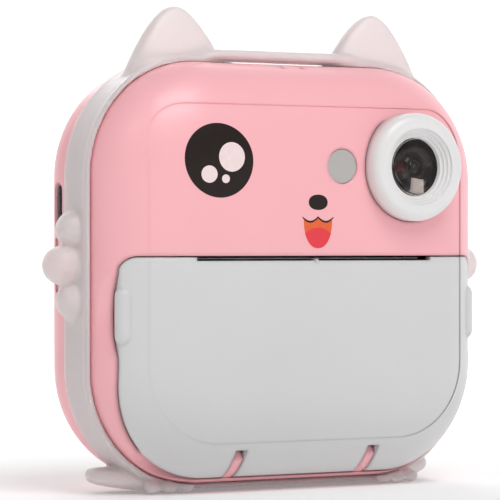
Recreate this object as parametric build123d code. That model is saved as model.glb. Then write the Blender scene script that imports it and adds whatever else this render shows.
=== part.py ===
from build123d import *
import math
import os

# Kids' instant-print camera: a pillow-shaped plastic body in a silicone sleeve with ears and
# feet, and a drop-down printer door in the lower front. Millimetres.
# X runs to the right of the front face, the front faces -Y, Z is up.
# The origin is on the table, below the middle of the object.

os.makedirs("parts", exist_ok=True)

# ---------------------------------------------------------------- driving dimensions
# Body shell
BODY_W = 96.0            # overall width
BODY_H = 90.5            # overall height
BODY_D = 36.8            # front face to back face
BODY_LOW = 2.05          # height of the shell's underside above the table
CORNER_R = 25.0          # corner radius of the front outline
ROLL_IN = 21.0           # how far the front edge roll reaches in from the outline
ROLL_DEEP = 14.0         # how far the front edge roll reaches back
REAR_ROLL = 9.0          # radius of the rear edge
WALL = 2.0               # shell wall
RIB_T = 1.2              # ribs and thin walls inside
CREASE = 0.2             # depth of the recessed face panel
CREASE_MARGIN = 7.8      # panel edge, in from the body's sides
CREASE_MARGIN_TOP = 9.35
CREASE_MARGIN_LOW = 8.85
CREASE_R_TOP = 9.0
CREASE_R_LOW = 17.0
SPLIT_BACK = 18.0        # front shell depth, from the front face to the joint with the rear shell

# Rear controls stand this far out of the back face, the lens ring this far out of the front
BUTTON_PROUD = 1.2
RING_PROUD = 4.0

# Paper: standard 57 mm till roll
PAPER_W = 57.0
ROLL_R = 12.5
CORE_R = 5.0
CORE_WALL = 1.0
PAPER_T = 0.15

# Printer door
DOOR_MARGIN = 3.0        # door edge, in from the body's sides
DOOR_TOP = 48.5          # door height above the body's underside
DOOR_LOW = 1.35          # door's lower edge above the body's underside
DOOR_R_TOP = 3.0
DOOR_R_LOW = 21.5
DOOR_GAP = 0.3           # seam round the door
DOOR_REACH = 10.0        # how far back the door's rim reaches from the front face
SLOT_W = 60.0
SLOT_H = 0.75
SLOT_BUMP_R = 0.4        # small bump at the middle of the slot
LEDGE = 1.6              # thickness of the ledge that the door closes on
LEDGE_GAP = 0.2
LEDGE_REACH = 3.0
BAY_W = 71.0             # opening behind the door
BAY_LOW = 6.25           # its lower edge above the body's underside
BAY_R = 8.0

# Door hinge
HINGE_DEEP = 8.6         # axis behind the front face
HINGE_UP = 4.15          # axis above the body's underside
PIN_R = 0.8
PIN_CLEAR = 0.05
KNUCKLE_R = 1.9
KNUCKLE_L = 3.5
ARM_X = 17.0             # middle of each hinge arm
ARM_W = 2.3
ARM_R = 3.9
NOTCH_CLEAR = 0.35
ARM_SHARE = 0.72         # the door's notch ends at this share of the arm's radius above the axis
KNUCKLE_GAP = 0.25       # door knuckles stand this far off the notch
POCKET_R = 3.45          # room round the axis for the door's lower edge

# Platen and gears, module 0.5
PLATEN_DEEP = 8.4        # platen axis behind the front face
PLATEN_DOWN = 6.25       # platen axis below the door's top edge
PLATEN_R = 3.5
SHAFT_R = 1.5
SHAFT_CLEAR = 0.05
BUSH_R = 2.5
BUSH_W = 1.5
BRACKET_WALL = 0.8       # round the bush
BRACKET_GAP = 0.5        # side plate to bracket
SHAFT_END = 0.4          # shaft beyond the gear
PIN_END = 0.6            # pins and shaft ends beyond what they carry
MODULE = 0.5
ADDENDUM = 0.8           # tooth tip above the pitch circle, in modules
FLANK_STEPS = 3          # straight runs on each involute flank
TEETH_PLATEN = 16
TEETH_IDLER = 24
TEETH_PINION = 12
GEAR_W = 2.2
GEAR_CLEAR = 0.7         # gears stand this far off the frame's side plate
PRESSURE = 20.0
BACKLASH = 0.035         # radians taken off each tooth at the pitch circle of the smallest gear
MESH_LEAN = 70.0         # angle of the idler-to-pinion line above the horizontal

# Printer frame
FRAME_GAP = 1.2          # side plate to paper
RUBBER_OVER = 0.3        # platen beyond the paper at each end
FRAME_T = 1.5
CRADLE_GAP = 0.3         # cradle to roll
CRADLE_T = 1.2
ROLL_DEEP_AXIS = 16.2    # roll axis behind the front face
ROLL_UP = 20.75          # roll axis above the body's underside
HEAD_GAP = 0.4           # platen to print head, with the paper between
HEAD_T = 1.5
HEAD_H = 13.0
FRAME_UP = (6.75, 57.0)  # lower and upper edge above the body's underside
PLATE_DEEP = 4.1         # front edge of the side plates behind the front face
PLATE_BEVEL = (5.5, 8.0)     # sloped lower front corner
PLATE_BACK_GAP = 1.4     # side plates to the button board
PLATE_STEP_DOWN = 0.5    # step under the top of the roll
CRADLE_OPEN = (4.0, -6.0)    # the trough is cut away ahead of and above this, from the roll's axis
CRADLE_BACK = (5.0, -10.0, 6.0)  # its rear lip: behind the axis, from and to this height
HEAD_WALL_UP = 0.5       # wall behind the head, above the cradle
FLANGE_DEEP = 6.6        # screwed flanges behind the front face
FLANGE_UP = (12.0, 24.0)     # and above the frame's lower edge
SPRING_H = 3.4           # print head to the wall behind it
SPRING_T = 0.3
SPRING_HALF = 12.0
SPRING_FOOT = 1.2
SPRING_FLAT = 3.0        # half the flat middle
SPRING_NIP = 0.4         # the inner line's flat middle is narrower by this
SPRING_W = 4.0
SPRING_UP = 1.5          # above the wall's lower edge

# Lens assembly
LENS_IN = 23.45           # lens axis, in from the right-hand side
LENS_DOWN = 22.35        # lens axis, down from the body's top
RING_R = 11.85
RING_EDGE = 2.2
RING_FACE_R = 8.9
RING_BORE_R = 6.35
RING_STEPS = 4
RING_STEP_DEEP = 0.6
WINDOW_T = 0.8
WINDOW_LIP = 0.4
WINDOW_CLEAR = 0.1
WINDOW_DEEP = 0.6        # below the last step
RING_STEP_LEAN = 0.15    # each step's wall leans in by this
COLLAR_LAP = 0.5         # the collar starts this far inside the front wall
RING_SEAT = 1.6          # pocket floor behind the front face
POCKET_CLEAR = 0.15
COLLAR_T = 3.4
COLLAR_BACK = 7.7        # collar's rear edge behind the front face
BARREL_R = 3.4
BARREL_CLEAR = 0.4
BARREL_GAP = 0.6         # window to barrel
NOSE_R = 2.6             # barrel's nose round the small lens
NOSE_BORE = 1.5
NOSE_L = 2.0
LENS_OFF = 2.4           # the small lens sits this far left of the window's middle
LENS_DOME_R = 1.9
DOME_DEEP = 2.2          # dome's centre behind the barrel's front
CAMERA_BOARD_W = 15.0
LED_OFF = (2.0, -3.9)    # flash beside and below the window's middle
LED_W = 2.8
LED_T = 1.0
PIPE_W = 2.6
MIRROR_R = 3.65
MIRROR_T = 0.6
MIRROR_SINK = 0.25      # mirror below the face panel
MIRROR_IN = 41.3         # mirror centre, in from the right-hand side

# Screen and rear controls
LCD_W = 60.0
LCD_H = 41.5
LCD_T = 2.4
VIEW_W = 50.0
VIEW_H = 37.5
LCD_UP = 59.5            # screen centre above the body's underside
COVER_T = 1.2
COVER_LIP = 2.0
COVER_CLEAR = 0.15
COVER_R = 3.0
BUTTON_TRAVEL = 0.5
BUTTON_EDGE = 0.5        # round edge of a cap
BUTTON_CLEAR = 0.2
BUTTON_GAP = 0.3
SWITCH_GAP = 0.1         # left between a pressed button and its switch
FLANGE_T = 0.6
FLANGE_LIP = 0.9
SWITCH_H = 1.0
SWITCH_W = 3.5
BOARD_T = 1.0
SEAT = 0.3               # gap between pieces that are seated with tape or foam

# Sleeve
SLEEVE_T = 1.0
SLEEVE_GAP = 0.25
SLEEVE_FRONT = 13.2      # front edge behind the front face
SLEEVE_W = 10.6
EAR_X = 25.5
EAR_TIP = 53.9           # ear tip above the door's top edge
EAR_BASE_IN = 14.0
EAR_BASE_OUT = 35.4
EAR_T = 8.0
EAR_TIP_R = 3.0
EAR_BASE_R = 2.0
PAW_R = 4.2
PAW_OUT = 8.1            # middle paw ball's reach beyond the body's side
PAW_STEP = 7.6           # from one paw ball to the next
PAW_UP = 46.8            # middle ball above the body's underside
PAW_SHARE = 0.6          # the outer balls reach out by this share
PAW_DEEP = 19.6          # ball centres behind the front face
EAR_DEEP = 0.3           # ears behind the sleeve's front edge
EAR_DOWN = (1.0, 4.0)    # inner and outer end of an ear's base, below the body's top
FOOT_IN = 24.0
FOOT_OUT = 43.3
FOOT_D = 16.0
FOOT_H = 4.8
FOOT_BACK = 0.7          # foot's middle behind the band's
FOOT_R = 5.0
FOOT_EDGE = 1.2
BRIDGE_HALF = 19.0       # the band stands off the shell between the ears
BRIDGE_RISE = 0.55
BRIDGE_T = 2.0
BRIDGE_LAP = 1.5

# Screws and posts
SCREW_R = 1.0
SCREW_HEAD_R = 2.0
SCREW_HEAD_T = 1.5
SCREW_DEEP = 4.0         # head seat below the back face
SCREW_LEN = 21.8
SCREW_CLEAR = 0.2
SCREW_TIP_ROOM = 0.4
SCREW_SOCKET = 0.9       # drive recess, as a share of the shank's radius
POST_R = 3.0
POST_LOW = (39.5, 18.75)   # X and height above the body's underside
POST_HIGH = (36.0, 76.75)
PEG_R = 1.6
PEG_SCREW_R = 0.7
PEG_HEAD_R = 1.8
PEG_HEAD_T = 1.0
PEG_SCREW_IN = 1.8       # thread beyond the board
PEG_HOLE_CLEAR = 0.1
PEG_LAP = 0.5            # pegs run this far into the back wall
BUTTON_PEGS = (33.0, (12.5, 36.0))   # half distance, heights above the underside
MAIN_PEGS = ((35.0, 44.5), (35.0, 66.5), (-35.5, 66.5))

# Grips on the door
GRIP_R = 1.9
GRIP_UP = 30.05          # lower end above the body's underside
GRIP_L = 12.2
GRIP_DEEP = 7.0
GRIP_X = 44.0
GRIP_ROOM = 0.4
SCOOP_R = 36.0
SCOOP_DEEP = 1.0
SCOOP_IN = 1.5           # scoop's middle, in from the side
SCOOP_BACK = 9.0         # and behind the front face
SCOOP_LEAN = (0.8, -0.6)     # direction it faces

# Inside
BATTERY = (28.0, 6.0, 28.0)
BATTERY_UP = 53.0        # above the body's underside
BATTERY_R = 1.5
BATTERY_CLEAR = 0.6
BUTTON_BOARD = (71.0, 9.75, 38.5)    # width, lower and upper edge above the underside
MAIN_BOARD = (-44.0, 38.0, 40.25, 70.25)     # left, right, lower, upper
MAIN_BOARD_TOP = (31.0, 81.75)       # half width and height of its upper tongue
MAIN_BOARD_T = 1.2
LCD_GAP = 0.9            # screen to main board
SPEAKER_R = 10.0
SPEAKER_T = 3.6
SPEAKER_X = -24.0
SPEAKER_DEEP = 5.0       # behind the front face
SPEAKER_RIM_T = 1.2
SPEAKER_MAGNET = 0.7     # magnet's share of the radius
MOTOR_R = 6.0
MOTOR_L = 13.7
MOTOR_SHAFT_R = 1.0
MOTOR_SHAFT_ROOM = 0.3
MOTOR_SHAFT_IN = 1.9     # shaft inside the motor
TEAR_T = 0.4
TEAR_W = 58.5
TEAR_TOOTH = (1.5, 0.6)      # width and depth of a tooth
TEAR_GAP = 0.1
TEAR_BACK = 5.8          # rear edge behind the front face
TEAR_RIB = (62.0, 6.0, 2.0)  # width, rear edge behind the front face, height
TEAR_POCKET = (60.0, 6.1)    # width and rear edge
CARD = (15.0, 0.8, 11.0)
CARD_IN = 0.8            # card's end, in from the side
CARD_UP = 46.75
CARD_AHEAD = 1.0         # card's middle ahead of the main board
SOCKET_WALL = (1.0, 0.4)     # round the card's edges, and over its face
SOCKET_CLEAR = 0.1
SIDE_GAP = 0.6           # side wall to what stands behind it
USB = (7.3, 3.2, 9.0)
USB_IN = 0.6
USB_UP = 59.75
USB_T = 0.3              # sheet of the inlet's shell
TONGUE = (0.7, 6.6)      # thickness and width
TONGUE_SHORT = 0.5
PORT_CLEAR = 0.25
MIC_X = 2.5              # half the distance between the two holes on top
MIC_DEEP = 10.2
MIC_R = 0.55
MIC_BACK = 3.0           # microphone behind the holes
MIC_BOARD = (8.0, 4.0, 1.0)
MIC_CAN = (1.8, 0.8)     # radius and height
MIC_DOWN = 3.5           # top of the can below the body's top
WEB_BEND = 0.5           # paper bends this far below the head
WEB_RISE = 3.6           # paper runs straight to this height above the platen axis
WEB_TURN = ((1.6, 0.6), 4.0)     # then forward and below the slot, and to the slot
SLOT_SHARE = 1 / 3       # the paper lies this share of the slot's height below the door's top
CUT = 1.0                # how far a cutting shape overruns
FAR = 120.0              # size of a block that takes in the whole object

# Buttons on the back; each has x, height above the body's underside, cap radius
BUTTONS = {
    "shutter_button": (28.0, 26.75, 6.0),
    "print_button": (10.0, 30.75, 3.6),
    "power_button": (10.0, 16.75, 3.0),
    "ok_button": (-19.0, 24.75, 3.6),
    "up_button": (-19.0, 34.25, 3.0),
    "down_button": (-19.0, 15.25, 3.0),
    "left_button": (-9.5, 24.75, 3.0),
    "right_button": (-28.5, 24.75, 3.0),
}

# ---------------------------------------------------------------- derived places
FRONT = -(BODY_D + BUTTON_PROUD - RING_PROUD) / 2
BACK = FRONT + BODY_D
SPLIT = FRONT + SPLIT_BACK
BEFORE = FRONT - 5.0     # a plane ahead of everything but the ring
BODY_MID = BODY_LOW + BODY_H / 2
BODY_TOP = BODY_LOW + BODY_H
HALF_W = BODY_W / 2
DOOR_HALF = HALF_W - DOOR_MARGIN
DOOR_Z0 = BODY_LOW + DOOR_LOW
DOOR_Z1 = BODY_LOW + DOOR_TOP
HINGE_Y = FRONT + HINGE_DEEP
HINGE_Z = BODY_LOW + HINGE_UP
PLATEN_Y = FRONT + PLATEN_DEEP
PLATEN_Z = DOOR_Z1 - PLATEN_DOWN
ROLL_Y = FRONT + ROLL_DEEP_AXIS
ROLL_Z = BODY_LOW + ROLL_UP
CRADLE_R = ROLL_R + CRADLE_GAP
PLATE_IN = PAPER_W / 2 + FRAME_GAP
RUBBER_HALF = PAPER_W / 2 + RUBBER_OVER
PLATE_OUT = PLATE_IN + FRAME_T
GEAR_X0 = PLATE_OUT + GEAR_CLEAR
HEAD_Y = PLATEN_Y + PLATEN_R + HEAD_GAP
LENS_X = HALF_W - LENS_IN
LENS_Z = BODY_TOP - LENS_DOWN
RING_FRONT = FRONT - RING_PROUD
RING_BACK = FRONT + RING_SEAT
COLLAR_END = FRONT + COLLAR_BACK
MIRROR_X = HALF_W - MIRROR_IN
LCD_Z = BODY_LOW + LCD_UP
INNER_BACK = BACK - WALL
LCD_BACK = INNER_BACK - SEAT - LCD_T
FLANGE_Y = INNER_BACK - BUTTON_GAP
SWITCH_Y = FLANGE_Y - FLANGE_T - BUTTON_TRAVEL - SWITCH_GAP
BUTTON_BOARD_Y = SWITCH_Y - SWITCH_H
MAIN_BACK = LCD_BACK - LCD_GAP
MAIN_FRONT = MAIN_BACK - MAIN_BOARD_T


# ---------------------------------------------------------------- helpers
def slab(sketch, y0, y1):
    """Extrude a sketch drawn in X and Z from y0 back to y1."""
    return extrude(Plane.XZ.offset(-y1) * sketch, y1 - y0)


def bar(sketch, x0, x1):
    """Extrude a sketch drawn in Y and Z from x0 to x1."""
    return extrude(Plane.YZ.offset(x0) * sketch, x1 - x0)


def block(x0, x1, y0, y1, z0, z1):
    """A box given by its two corners."""
    size = (x1 - x0, y1 - y0, z1 - z0)
    return Pos((x0 + x1) / 2, (y0 + y1) / 2, (z0 + z1) / 2) * Box(*size)


def rod_y(x, z, r, y0, y1):
    """A cylinder along Y."""
    return slab(Pos(x, z) * Circle(r), y0, y1)


def rod_x(y, z, r, x0, x1):
    """A cylinder along X."""
    return bar(Pos(y, z) * Circle(r), x0, x1)


def tube_y(x, z, r_out, r_in, y0, y1):
    """A tube along Y."""
    return slab(Pos(x, z) * (Circle(r_out) - Circle(r_in)), y0, y1)


def outline(half_w, z0, z1, r_low, r_high):
    """A rectangle in X and Z with its own radius at the bottom and at the top."""
    shape = Pos(0, (z0 + z1) / 2) * Rectangle(2 * half_w, z1 - z0)
    low = shape.vertices().sort_by(Axis.Y)[:2]
    shape = fillet(low, r_low)
    high = [v for v in shape.vertices() if abs(v.Y - z1) < 1e-6]
    return fillet(high, r_high)


def mirrored(part):
    """The part and its copy on the other side of X = 0."""
    return [part, part.mirror(Plane.YZ)]


def save(name, *parts):
    """Write one node, a single solid or a group of separate solids."""
    solids = [s for part in parts for s in part.solids()]
    if len(solids) == 1:
        shape = solids[0]
    else:
        shape = Compound(children=solids)
    export_step(shape, f"parts/{name}.step")


# ---------------------------------------------------------------- pillow-shaped body
def half_profile(inset):
    """Half of the body's section: flat front, elliptical front roll, round rear edge."""
    r = CORNER_R - inset
    a, b, c = ROLL_IN - inset, ROLL_DEEP - inset, REAR_ROLL - inset
    y0, y1 = FRONT + inset, BACK - inset
    front_roll = EllipticalCenterArc((r - a, y0 + b), a, b, 270, arc_size=90)
    rear_roll = CenterArc((r - c, y1 - c), c, 0, 90)
    edges = [
        Line((0, y0), (r - a, y0)),
        front_roll,
        Line((r, y0 + b), (r, y1 - c)),
        rear_roll,
        Line((r - c, y1), (0, y1)),
        Line((0, y1), (0, y0)),
    ]
    return make_face(Curve() + edges)


def body(inset):
    """The body's solid, moved in by inset all round: four turned corners and straight bars."""
    half = half_profile(inset)
    reach_x = HALF_W - CORNER_R
    reach_z = BODY_H / 2 - CORNER_R
    corner = revolve(half, Axis.Y, 90)
    side = extrude(half, reach_z, both=True)
    rail = Rot(0, 90, 0) * extrude(half, reach_x, both=True)
    parts = []
    for turn in range(4):
        spin = Rot(0, 90 * turn, 0)
        sign_x, sign_z = [(1, -1), (-1, -1), (-1, 1), (1, 1)][turn]
        parts.append(Pos(sign_x * reach_x, 0, sign_z * reach_z) * spin * corner)
    parts.append(Pos(reach_x, 0, 0) * side)
    parts.append(Pos(-reach_x, 0, 0) * Rot(0, 180, 0) * side)
    parts.append(Pos(0, 0, -reach_z) * rail)
    parts.append(Pos(0, 0, reach_z) * Rot(0, 180, 0) * rail)
    parts.append(block(-reach_x, reach_x, FRONT + inset, BACK - inset, -reach_z, reach_z))
    whole = parts[0].fuse(*parts[1:]).clean()
    return Pos(0, 0, BODY_MID) * whole


b_outer = body(0)
b_panel = body(CREASE)
b_mid = body(WALL / 2)
b_wall = body(WALL)
b_step = body(WALL + LEDGE_GAP)
b_deep = body(WALL + LEDGE_GAP + LEDGE / 2)
b_ledge = body(WALL + LEDGE_GAP + LEDGE)

panel = outline(
    HALF_W - CREASE_MARGIN,
    BODY_LOW + CREASE_MARGIN_LOW,
    BODY_TOP - CREASE_MARGIN_TOP,
    CREASE_R_LOW,
    CREASE_R_TOP,
)
panel_zone = slab(panel, FRONT - 1, FRONT + ROLL_DEEP)
skin = (b_outer - (panel_zone & (b_outer - b_panel))) - b_wall
upper_posts = [(s * POST_HIGH[0], BODY_LOW + POST_HIGH[1]) for s in (-1, 1)]
lower_posts = [(s * POST_LOW[0], BODY_LOW + POST_LOW[1]) for s in (-1, 1)]
posts = upper_posts + lower_posts


def door_zone(grow, y1):
    """The door's outline, grown by a gap, as a block from before the front back to y1."""
    shape = outline(
        DOOR_HALF + grow, DOOR_Z0 - grow, DOOR_Z1 + grow, DOOR_R_LOW + grow, DOOR_R_TOP + grow
    )
    return slab(shape, BEFORE, y1)


def grip(grow):
    """One side grip: a capsule standing up, grown by a gap."""
    r = GRIP_R + grow
    low = BODY_LOW + GRIP_UP + GRIP_R
    high = BODY_LOW + GRIP_UP + GRIP_L - GRIP_R
    y = FRONT + GRIP_DEEP
    stem = Pos(GRIP_X, y, (low + high) / 2) * Cylinder(r, high - low)
    return stem + Pos(GRIP_X, y, low) * Sphere(r) + Pos(GRIP_X, y, high) * Sphere(r)


# ---------------------------------------------------------------- front shell
front_half = block(-FAR, FAR, -FAR, SPLIT, -FAR, FAR)
ledge_zone = door_zone(LEDGE_REACH, FRONT + DOOR_REACH + LEDGE_REACH)
front_shell = (skin & front_half) + ((b_wall - b_ledge) & ledge_zone)
front_shell -= door_zone(DOOR_GAP, FRONT + DOOR_REACH + DOOR_GAP) & (b_outer - b_step)
bay = outline(BAY_W / 2, BODY_LOW + BAY_LOW, DOOR_Z1 + DOOR_GAP, BAY_R, DOOR_R_TOP)
front_shell -= slab(bay, BEFORE, FRONT + ROLL_DEEP)
pocket = rod_x(HINGE_Y, HINGE_Z, POCKET_R, -DOOR_HALF + LEDGE_REACH, DOOR_HALF - LEDGE_REACH)
front_shell -= pocket & block(-FAR, FAR, -FAR, FAR, DOOR_Z0 - DOOR_GAP, FAR)
for side in (-1, 1):
    arm = rod_x(HINGE_Y, HINGE_Z, ARM_R, side * ARM_X - ARM_W / 2, side * ARM_X + ARM_W / 2)
    front_shell += arm & (b_panel - b_ledge)
front_shell -= rod_x(HINGE_Y, HINGE_Z, PIN_R, -ARM_X - ARM_W, ARM_X + ARM_W)

# lens pocket and the collar that carries the camera board
collar = rod_y(LENS_X, LENS_Z, RING_R + POCKET_CLEAR + WALL / 2, FRONT + COLLAR_LAP, COLLAR_END)
front_shell += collar & b_mid
collar_bore_r = BARREL_R + COLLAR_T
front_shell -= rod_y(LENS_X, LENS_Z, RING_R + POCKET_CLEAR, BEFORE, RING_BACK)
front_shell -= rod_y(LENS_X, LENS_Z, collar_bore_r, BEFORE, COLLAR_END + CUT)

# mirror pocket, microphone holes, speaker ring
mirror_face = FRONT + CREASE + MIRROR_SINK
mirror_floor = mirror_face + MIRROR_T
front_shell -= rod_y(MIRROR_X, LENS_Z, MIRROR_R + POCKET_CLEAR, BEFORE, mirror_floor)
for side in (-1, 1):
    hole = Pos(side * MIC_X, FRONT + MIC_DEEP, BODY_TOP) * Cylinder(MIC_R, 8 * WALL)
    front_shell -= hole
SPEAKER_FRONT = FRONT + SPEAKER_DEEP
rib_in = SPEAKER_R - RIB_T
speaker_rib = tube_y(SPEAKER_X, LENS_Z, SPEAKER_R, rib_in, FRONT + COLLAR_LAP, SPEAKER_FRONT)
front_shell += speaker_rib & b_mid

# rib that carries the tear bar, above the paper slot
TEAR_Z = DOOR_Z1 + DOOR_GAP
tear_top = TEAR_Z + TEAR_T
rib_half, rib_back, rib_h = TEAR_RIB[0] / 2, FRONT + TEAR_RIB[1], TEAR_RIB[2]
front_shell += block(-rib_half, rib_half, FRONT + WALL / 2, rib_back, tear_top, tear_top + rib_h)
seat_half, seat_back = TEAR_POCKET[0] / 2, FRONT + TEAR_POCKET[1]
front_shell -= block(-seat_half, seat_half, FRONT + WALL, seat_back, TEAR_Z - CUT, tear_top)

# screw posts
for x, z in upper_posts:
    front_shell += rod_y(x, z, POST_R, FRONT, SPLIT) & b_mid
for x, z in lower_posts:
    front_shell += rod_y(x, z, POST_R, FRONT, SPLIT) & b_deep
SCREW_SEAT = BACK - SCREW_DEEP
SCREW_END = SCREW_SEAT - SCREW_LEN
for x, z in posts:
    front_shell -= rod_y(x, z, SCREW_R, SCREW_END - SCREW_TIP_ROOM, SPLIT + CUT)

# room for the grips and the fingers beside them
scoop_x = HALF_W - SCOOP_IN + SCOOP_LEAN[0] * (SCOOP_R - SCOOP_DEEP)
scoop_y = FRONT + SCOOP_BACK + SCOOP_LEAN[1] * (SCOOP_R - SCOOP_DEEP)
scoop = Pos(scoop_x, scoop_y, BODY_LOW + GRIP_UP + GRIP_L / 2) * Sphere(SCOOP_R)
for part in mirrored(scoop) + mirrored(grip(GRIP_ROOM)):
    front_shell -= part
save("front_shell", front_shell)

# ---------------------------------------------------------------- printer door
door = skin & door_zone(0, FRONT + DOOR_REACH)
slot_low, slot_back = DOOR_Z1 - SLOT_H, FRONT + WALL + CUT
door -= block(-SLOT_W / 2, SLOT_W / 2, FRONT - CUT, slot_back, slot_low, DOOR_Z1 + CUT)
door += Pos(0, FRONT + WALL / 2, slot_low) * Rot(90, 0, 0) * Cylinder(SLOT_BUMP_R, WALL)
notch_half = ARM_W / 2 + NOTCH_CLEAR
notch_top = HINGE_Z + ARM_R * ARM_SHARE + NOTCH_CLEAR
for side in (-1, 1):
    mid = side * ARM_X
    door -= block(mid - notch_half, mid + notch_half, BEFORE, SPLIT, 0, notch_top)
    for way in (-1, 1):
        near = mid + way * (notch_half + KNUCKLE_GAP / 2)
        far = near + way * KNUCKLE_L
        door += rod_x(HINGE_Y, HINGE_Z, KNUCKLE_R, min(near, far), max(near, far))
pin_half = notch_half + KNUCKLE_GAP / 2 + KNUCKLE_L
bore_end = ARM_X + pin_half
door -= rod_x(HINGE_Y, HINGE_Z, PIN_R + PIN_CLEAR, -bore_end, bore_end)
for part in mirrored(grip(0)):
    door += part
BRACKET_X = PLATE_IN + BRACKET_GAP
bracket_r = BUSH_R + BRACKET_WALL
bracket = block(
    BRACKET_X,
    BRACKET_X + BUSH_W,
    FRONT + WALL / 2 + CREASE,
    PLATEN_Y,
    PLATEN_Z - bracket_r,
    PLATEN_Z + bracket_r,
)
bracket += rod_x(PLATEN_Y, PLATEN_Z, bracket_r, BRACKET_X, BRACKET_X + BUSH_W)
bracket -= rod_x(PLATEN_Y, PLATEN_Z, BUSH_R, BRACKET_X - CUT, BRACKET_X + BUSH_W + CUT)
for part in mirrored(bracket):
    door += part
save("printer_door", door)

pins = [rod_x(HINGE_Y, HINGE_Z, PIN_R, s * ARM_X - pin_half, s * ARM_X + pin_half) for s in (-1, 1)]
save("door_hinge_pins", *pins)

# ---------------------------------------------------------------- rear shell
rear_half = block(-FAR, FAR, SPLIT, FAR, -FAR, FAR)
rear_shell = skin & rear_half
for x, z in posts:
    rear_shell += rod_y(x, z, POST_R, SPLIT, BACK) & b_mid
    rear_shell -= rod_y(x, z, SCREW_R + SCREW_CLEAR, SPLIT - CUT, BACK)
    rear_shell -= rod_y(x, z, SCREW_HEAD_R + SCREW_CLEAR, SCREW_SEAT, BACK + CUT)
view = Pos(0, LCD_Z) * Rectangle(VIEW_W, VIEW_H)
COVER_W = VIEW_W + 2 * COVER_LIP
COVER_H = VIEW_H + 2 * COVER_LIP
recess = Pos(0, LCD_Z) * RectangleRounded(COVER_W, COVER_H, COVER_R)
rear_shell -= slab(view, INNER_BACK - CUT, BACK + CUT)
rear_shell -= slab(recess, BACK - COVER_T, BACK + CUT)

for x, up, r in BUTTONS.values():
    rear_shell -= rod_y(x, BODY_LOW + up, r + BUTTON_CLEAR, INNER_BACK - CUT, BACK + CUT)

# pegs for the two boards, on the inside of the back
button_pegs = [(s * BUTTON_PEGS[0], BODY_LOW + up) for s in (-1, 1) for up in BUTTON_PEGS[1]]
main_pegs = [(x, BODY_LOW + up) for x, up in MAIN_PEGS]
for x, z in button_pegs:
    rear_shell += rod_y(x, z, PEG_R, BUTTON_BOARD_Y, INNER_BACK + PEG_LAP)
    rear_shell -= rod_y(x, z, PEG_SCREW_R, BUTTON_BOARD_Y - CUT, INNER_BACK)
for x, z in main_pegs:
    rear_shell += rod_y(x, z, PEG_R, MAIN_BACK, INNER_BACK + PEG_LAP)
    rear_shell -= rod_y(x, z, PEG_SCREW_R, MAIN_BACK - CUT, INNER_BACK)

# openings in the left side for the charging inlet and the memory card
USB_Y = MAIN_FRONT - SEAT / 3 - USB[1] / 2
USB_Z = BODY_LOW + USB_UP
CARD_Z = BODY_LOW + CARD_UP
CARD_Y = MAIN_FRONT - CARD_AHEAD
usb_hole = SlotCenterToCenter(USB[2] - USB[1], USB[1] + 2 * PORT_CLEAR, rotation=90)
rear_shell -= bar(Pos(USB_Y, USB_Z) * usb_hole, -HALF_W - CUT, -HALF_W + WALL + CUT)
rear_shell -= block(
    -HALF_W - CUT,
    -HALF_W + WALL + CUT,
    CARD_Y - CARD[1] / 2 - PORT_CLEAR,
    CARD_Y + CARD[1] / 2 + PORT_CLEAR,
    CARD_Z - CARD[2] / 2 - PORT_CLEAR,
    CARD_Z + CARD[2] / 2 + PORT_CLEAR,
)
save("rear_shell", rear_shell)

screws = []
for x, z in posts:
    head = rod_y(x, z, SCREW_HEAD_R, SCREW_SEAT, SCREW_SEAT + SCREW_HEAD_T)
    head -= rod_y(x, z, SCREW_R * SCREW_SOCKET, SCREW_SEAT + SCREW_HEAD_T / 2, BACK)
    screws.append(head + rod_y(x, z, SCREW_R, SCREW_END, SCREW_SEAT))
save("case_screws", *screws)

cover_w, cover_h = COVER_W - 2 * COVER_CLEAR, COVER_H - 2 * COVER_CLEAR
cover = Pos(0, LCD_Z) * RectangleRounded(cover_w, cover_h, COVER_R - COVER_CLEAR)
save("screen_cover", slab(cover, BACK - COVER_T, BACK))
lcd_half = LCD_W / 2
lcd = block(-lcd_half, lcd_half, LCD_BACK, LCD_BACK + LCD_T, LCD_Z - LCD_H / 2, LCD_Z + LCD_H / 2)
save("lcd_module", lcd)

# ---------------------------------------------------------------- buttons and their board
switches = []
for name, (x, up, r) in BUTTONS.items():
    z = BODY_LOW + up
    cap = rod_y(x, z, r, FLANGE_Y - FLANGE_T, BACK + BUTTON_PROUD)
    cap = fillet(cap.faces().sort_by(Axis.Y)[-1].edges(), BUTTON_EDGE)
    save(name, cap + rod_y(x, z, r + FLANGE_LIP, FLANGE_Y - FLANGE_T, FLANGE_Y))
    switch = Pos(x, SWITCH_Y - SWITCH_H / 2, z) * Box(SWITCH_W, SWITCH_H, SWITCH_W)
    switches.append(switch)
save("tact_switches", *switches)


def small_screws(places, face_y):
    """Board screws driven from the front through a board into the rear shell's pegs."""
    made = []
    for x, z in places:
        head = rod_y(x, z, PEG_HEAD_R, face_y - PEG_HEAD_T, face_y)
        thread = rod_y(x, z, PEG_SCREW_R, face_y, face_y + BOARD_T + PEG_SCREW_IN)
        made.append(head + thread)
    return made


board_half, board_low, board_high = BUTTON_BOARD[0] / 2, *[BODY_LOW + up for up in BUTTON_BOARD[1:]]
board_front = BUTTON_BOARD_Y - BOARD_T
button_board = block(-board_half, board_half, board_front, BUTTON_BOARD_Y, board_low, board_high)
for x, z in button_pegs:
    button_board -= rod_y(x, z, PEG_SCREW_R + PEG_HOLE_CLEAR, 0, BACK)
save("button_board", button_board)
save("button_board_screws", *small_screws(button_pegs, board_front))

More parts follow.
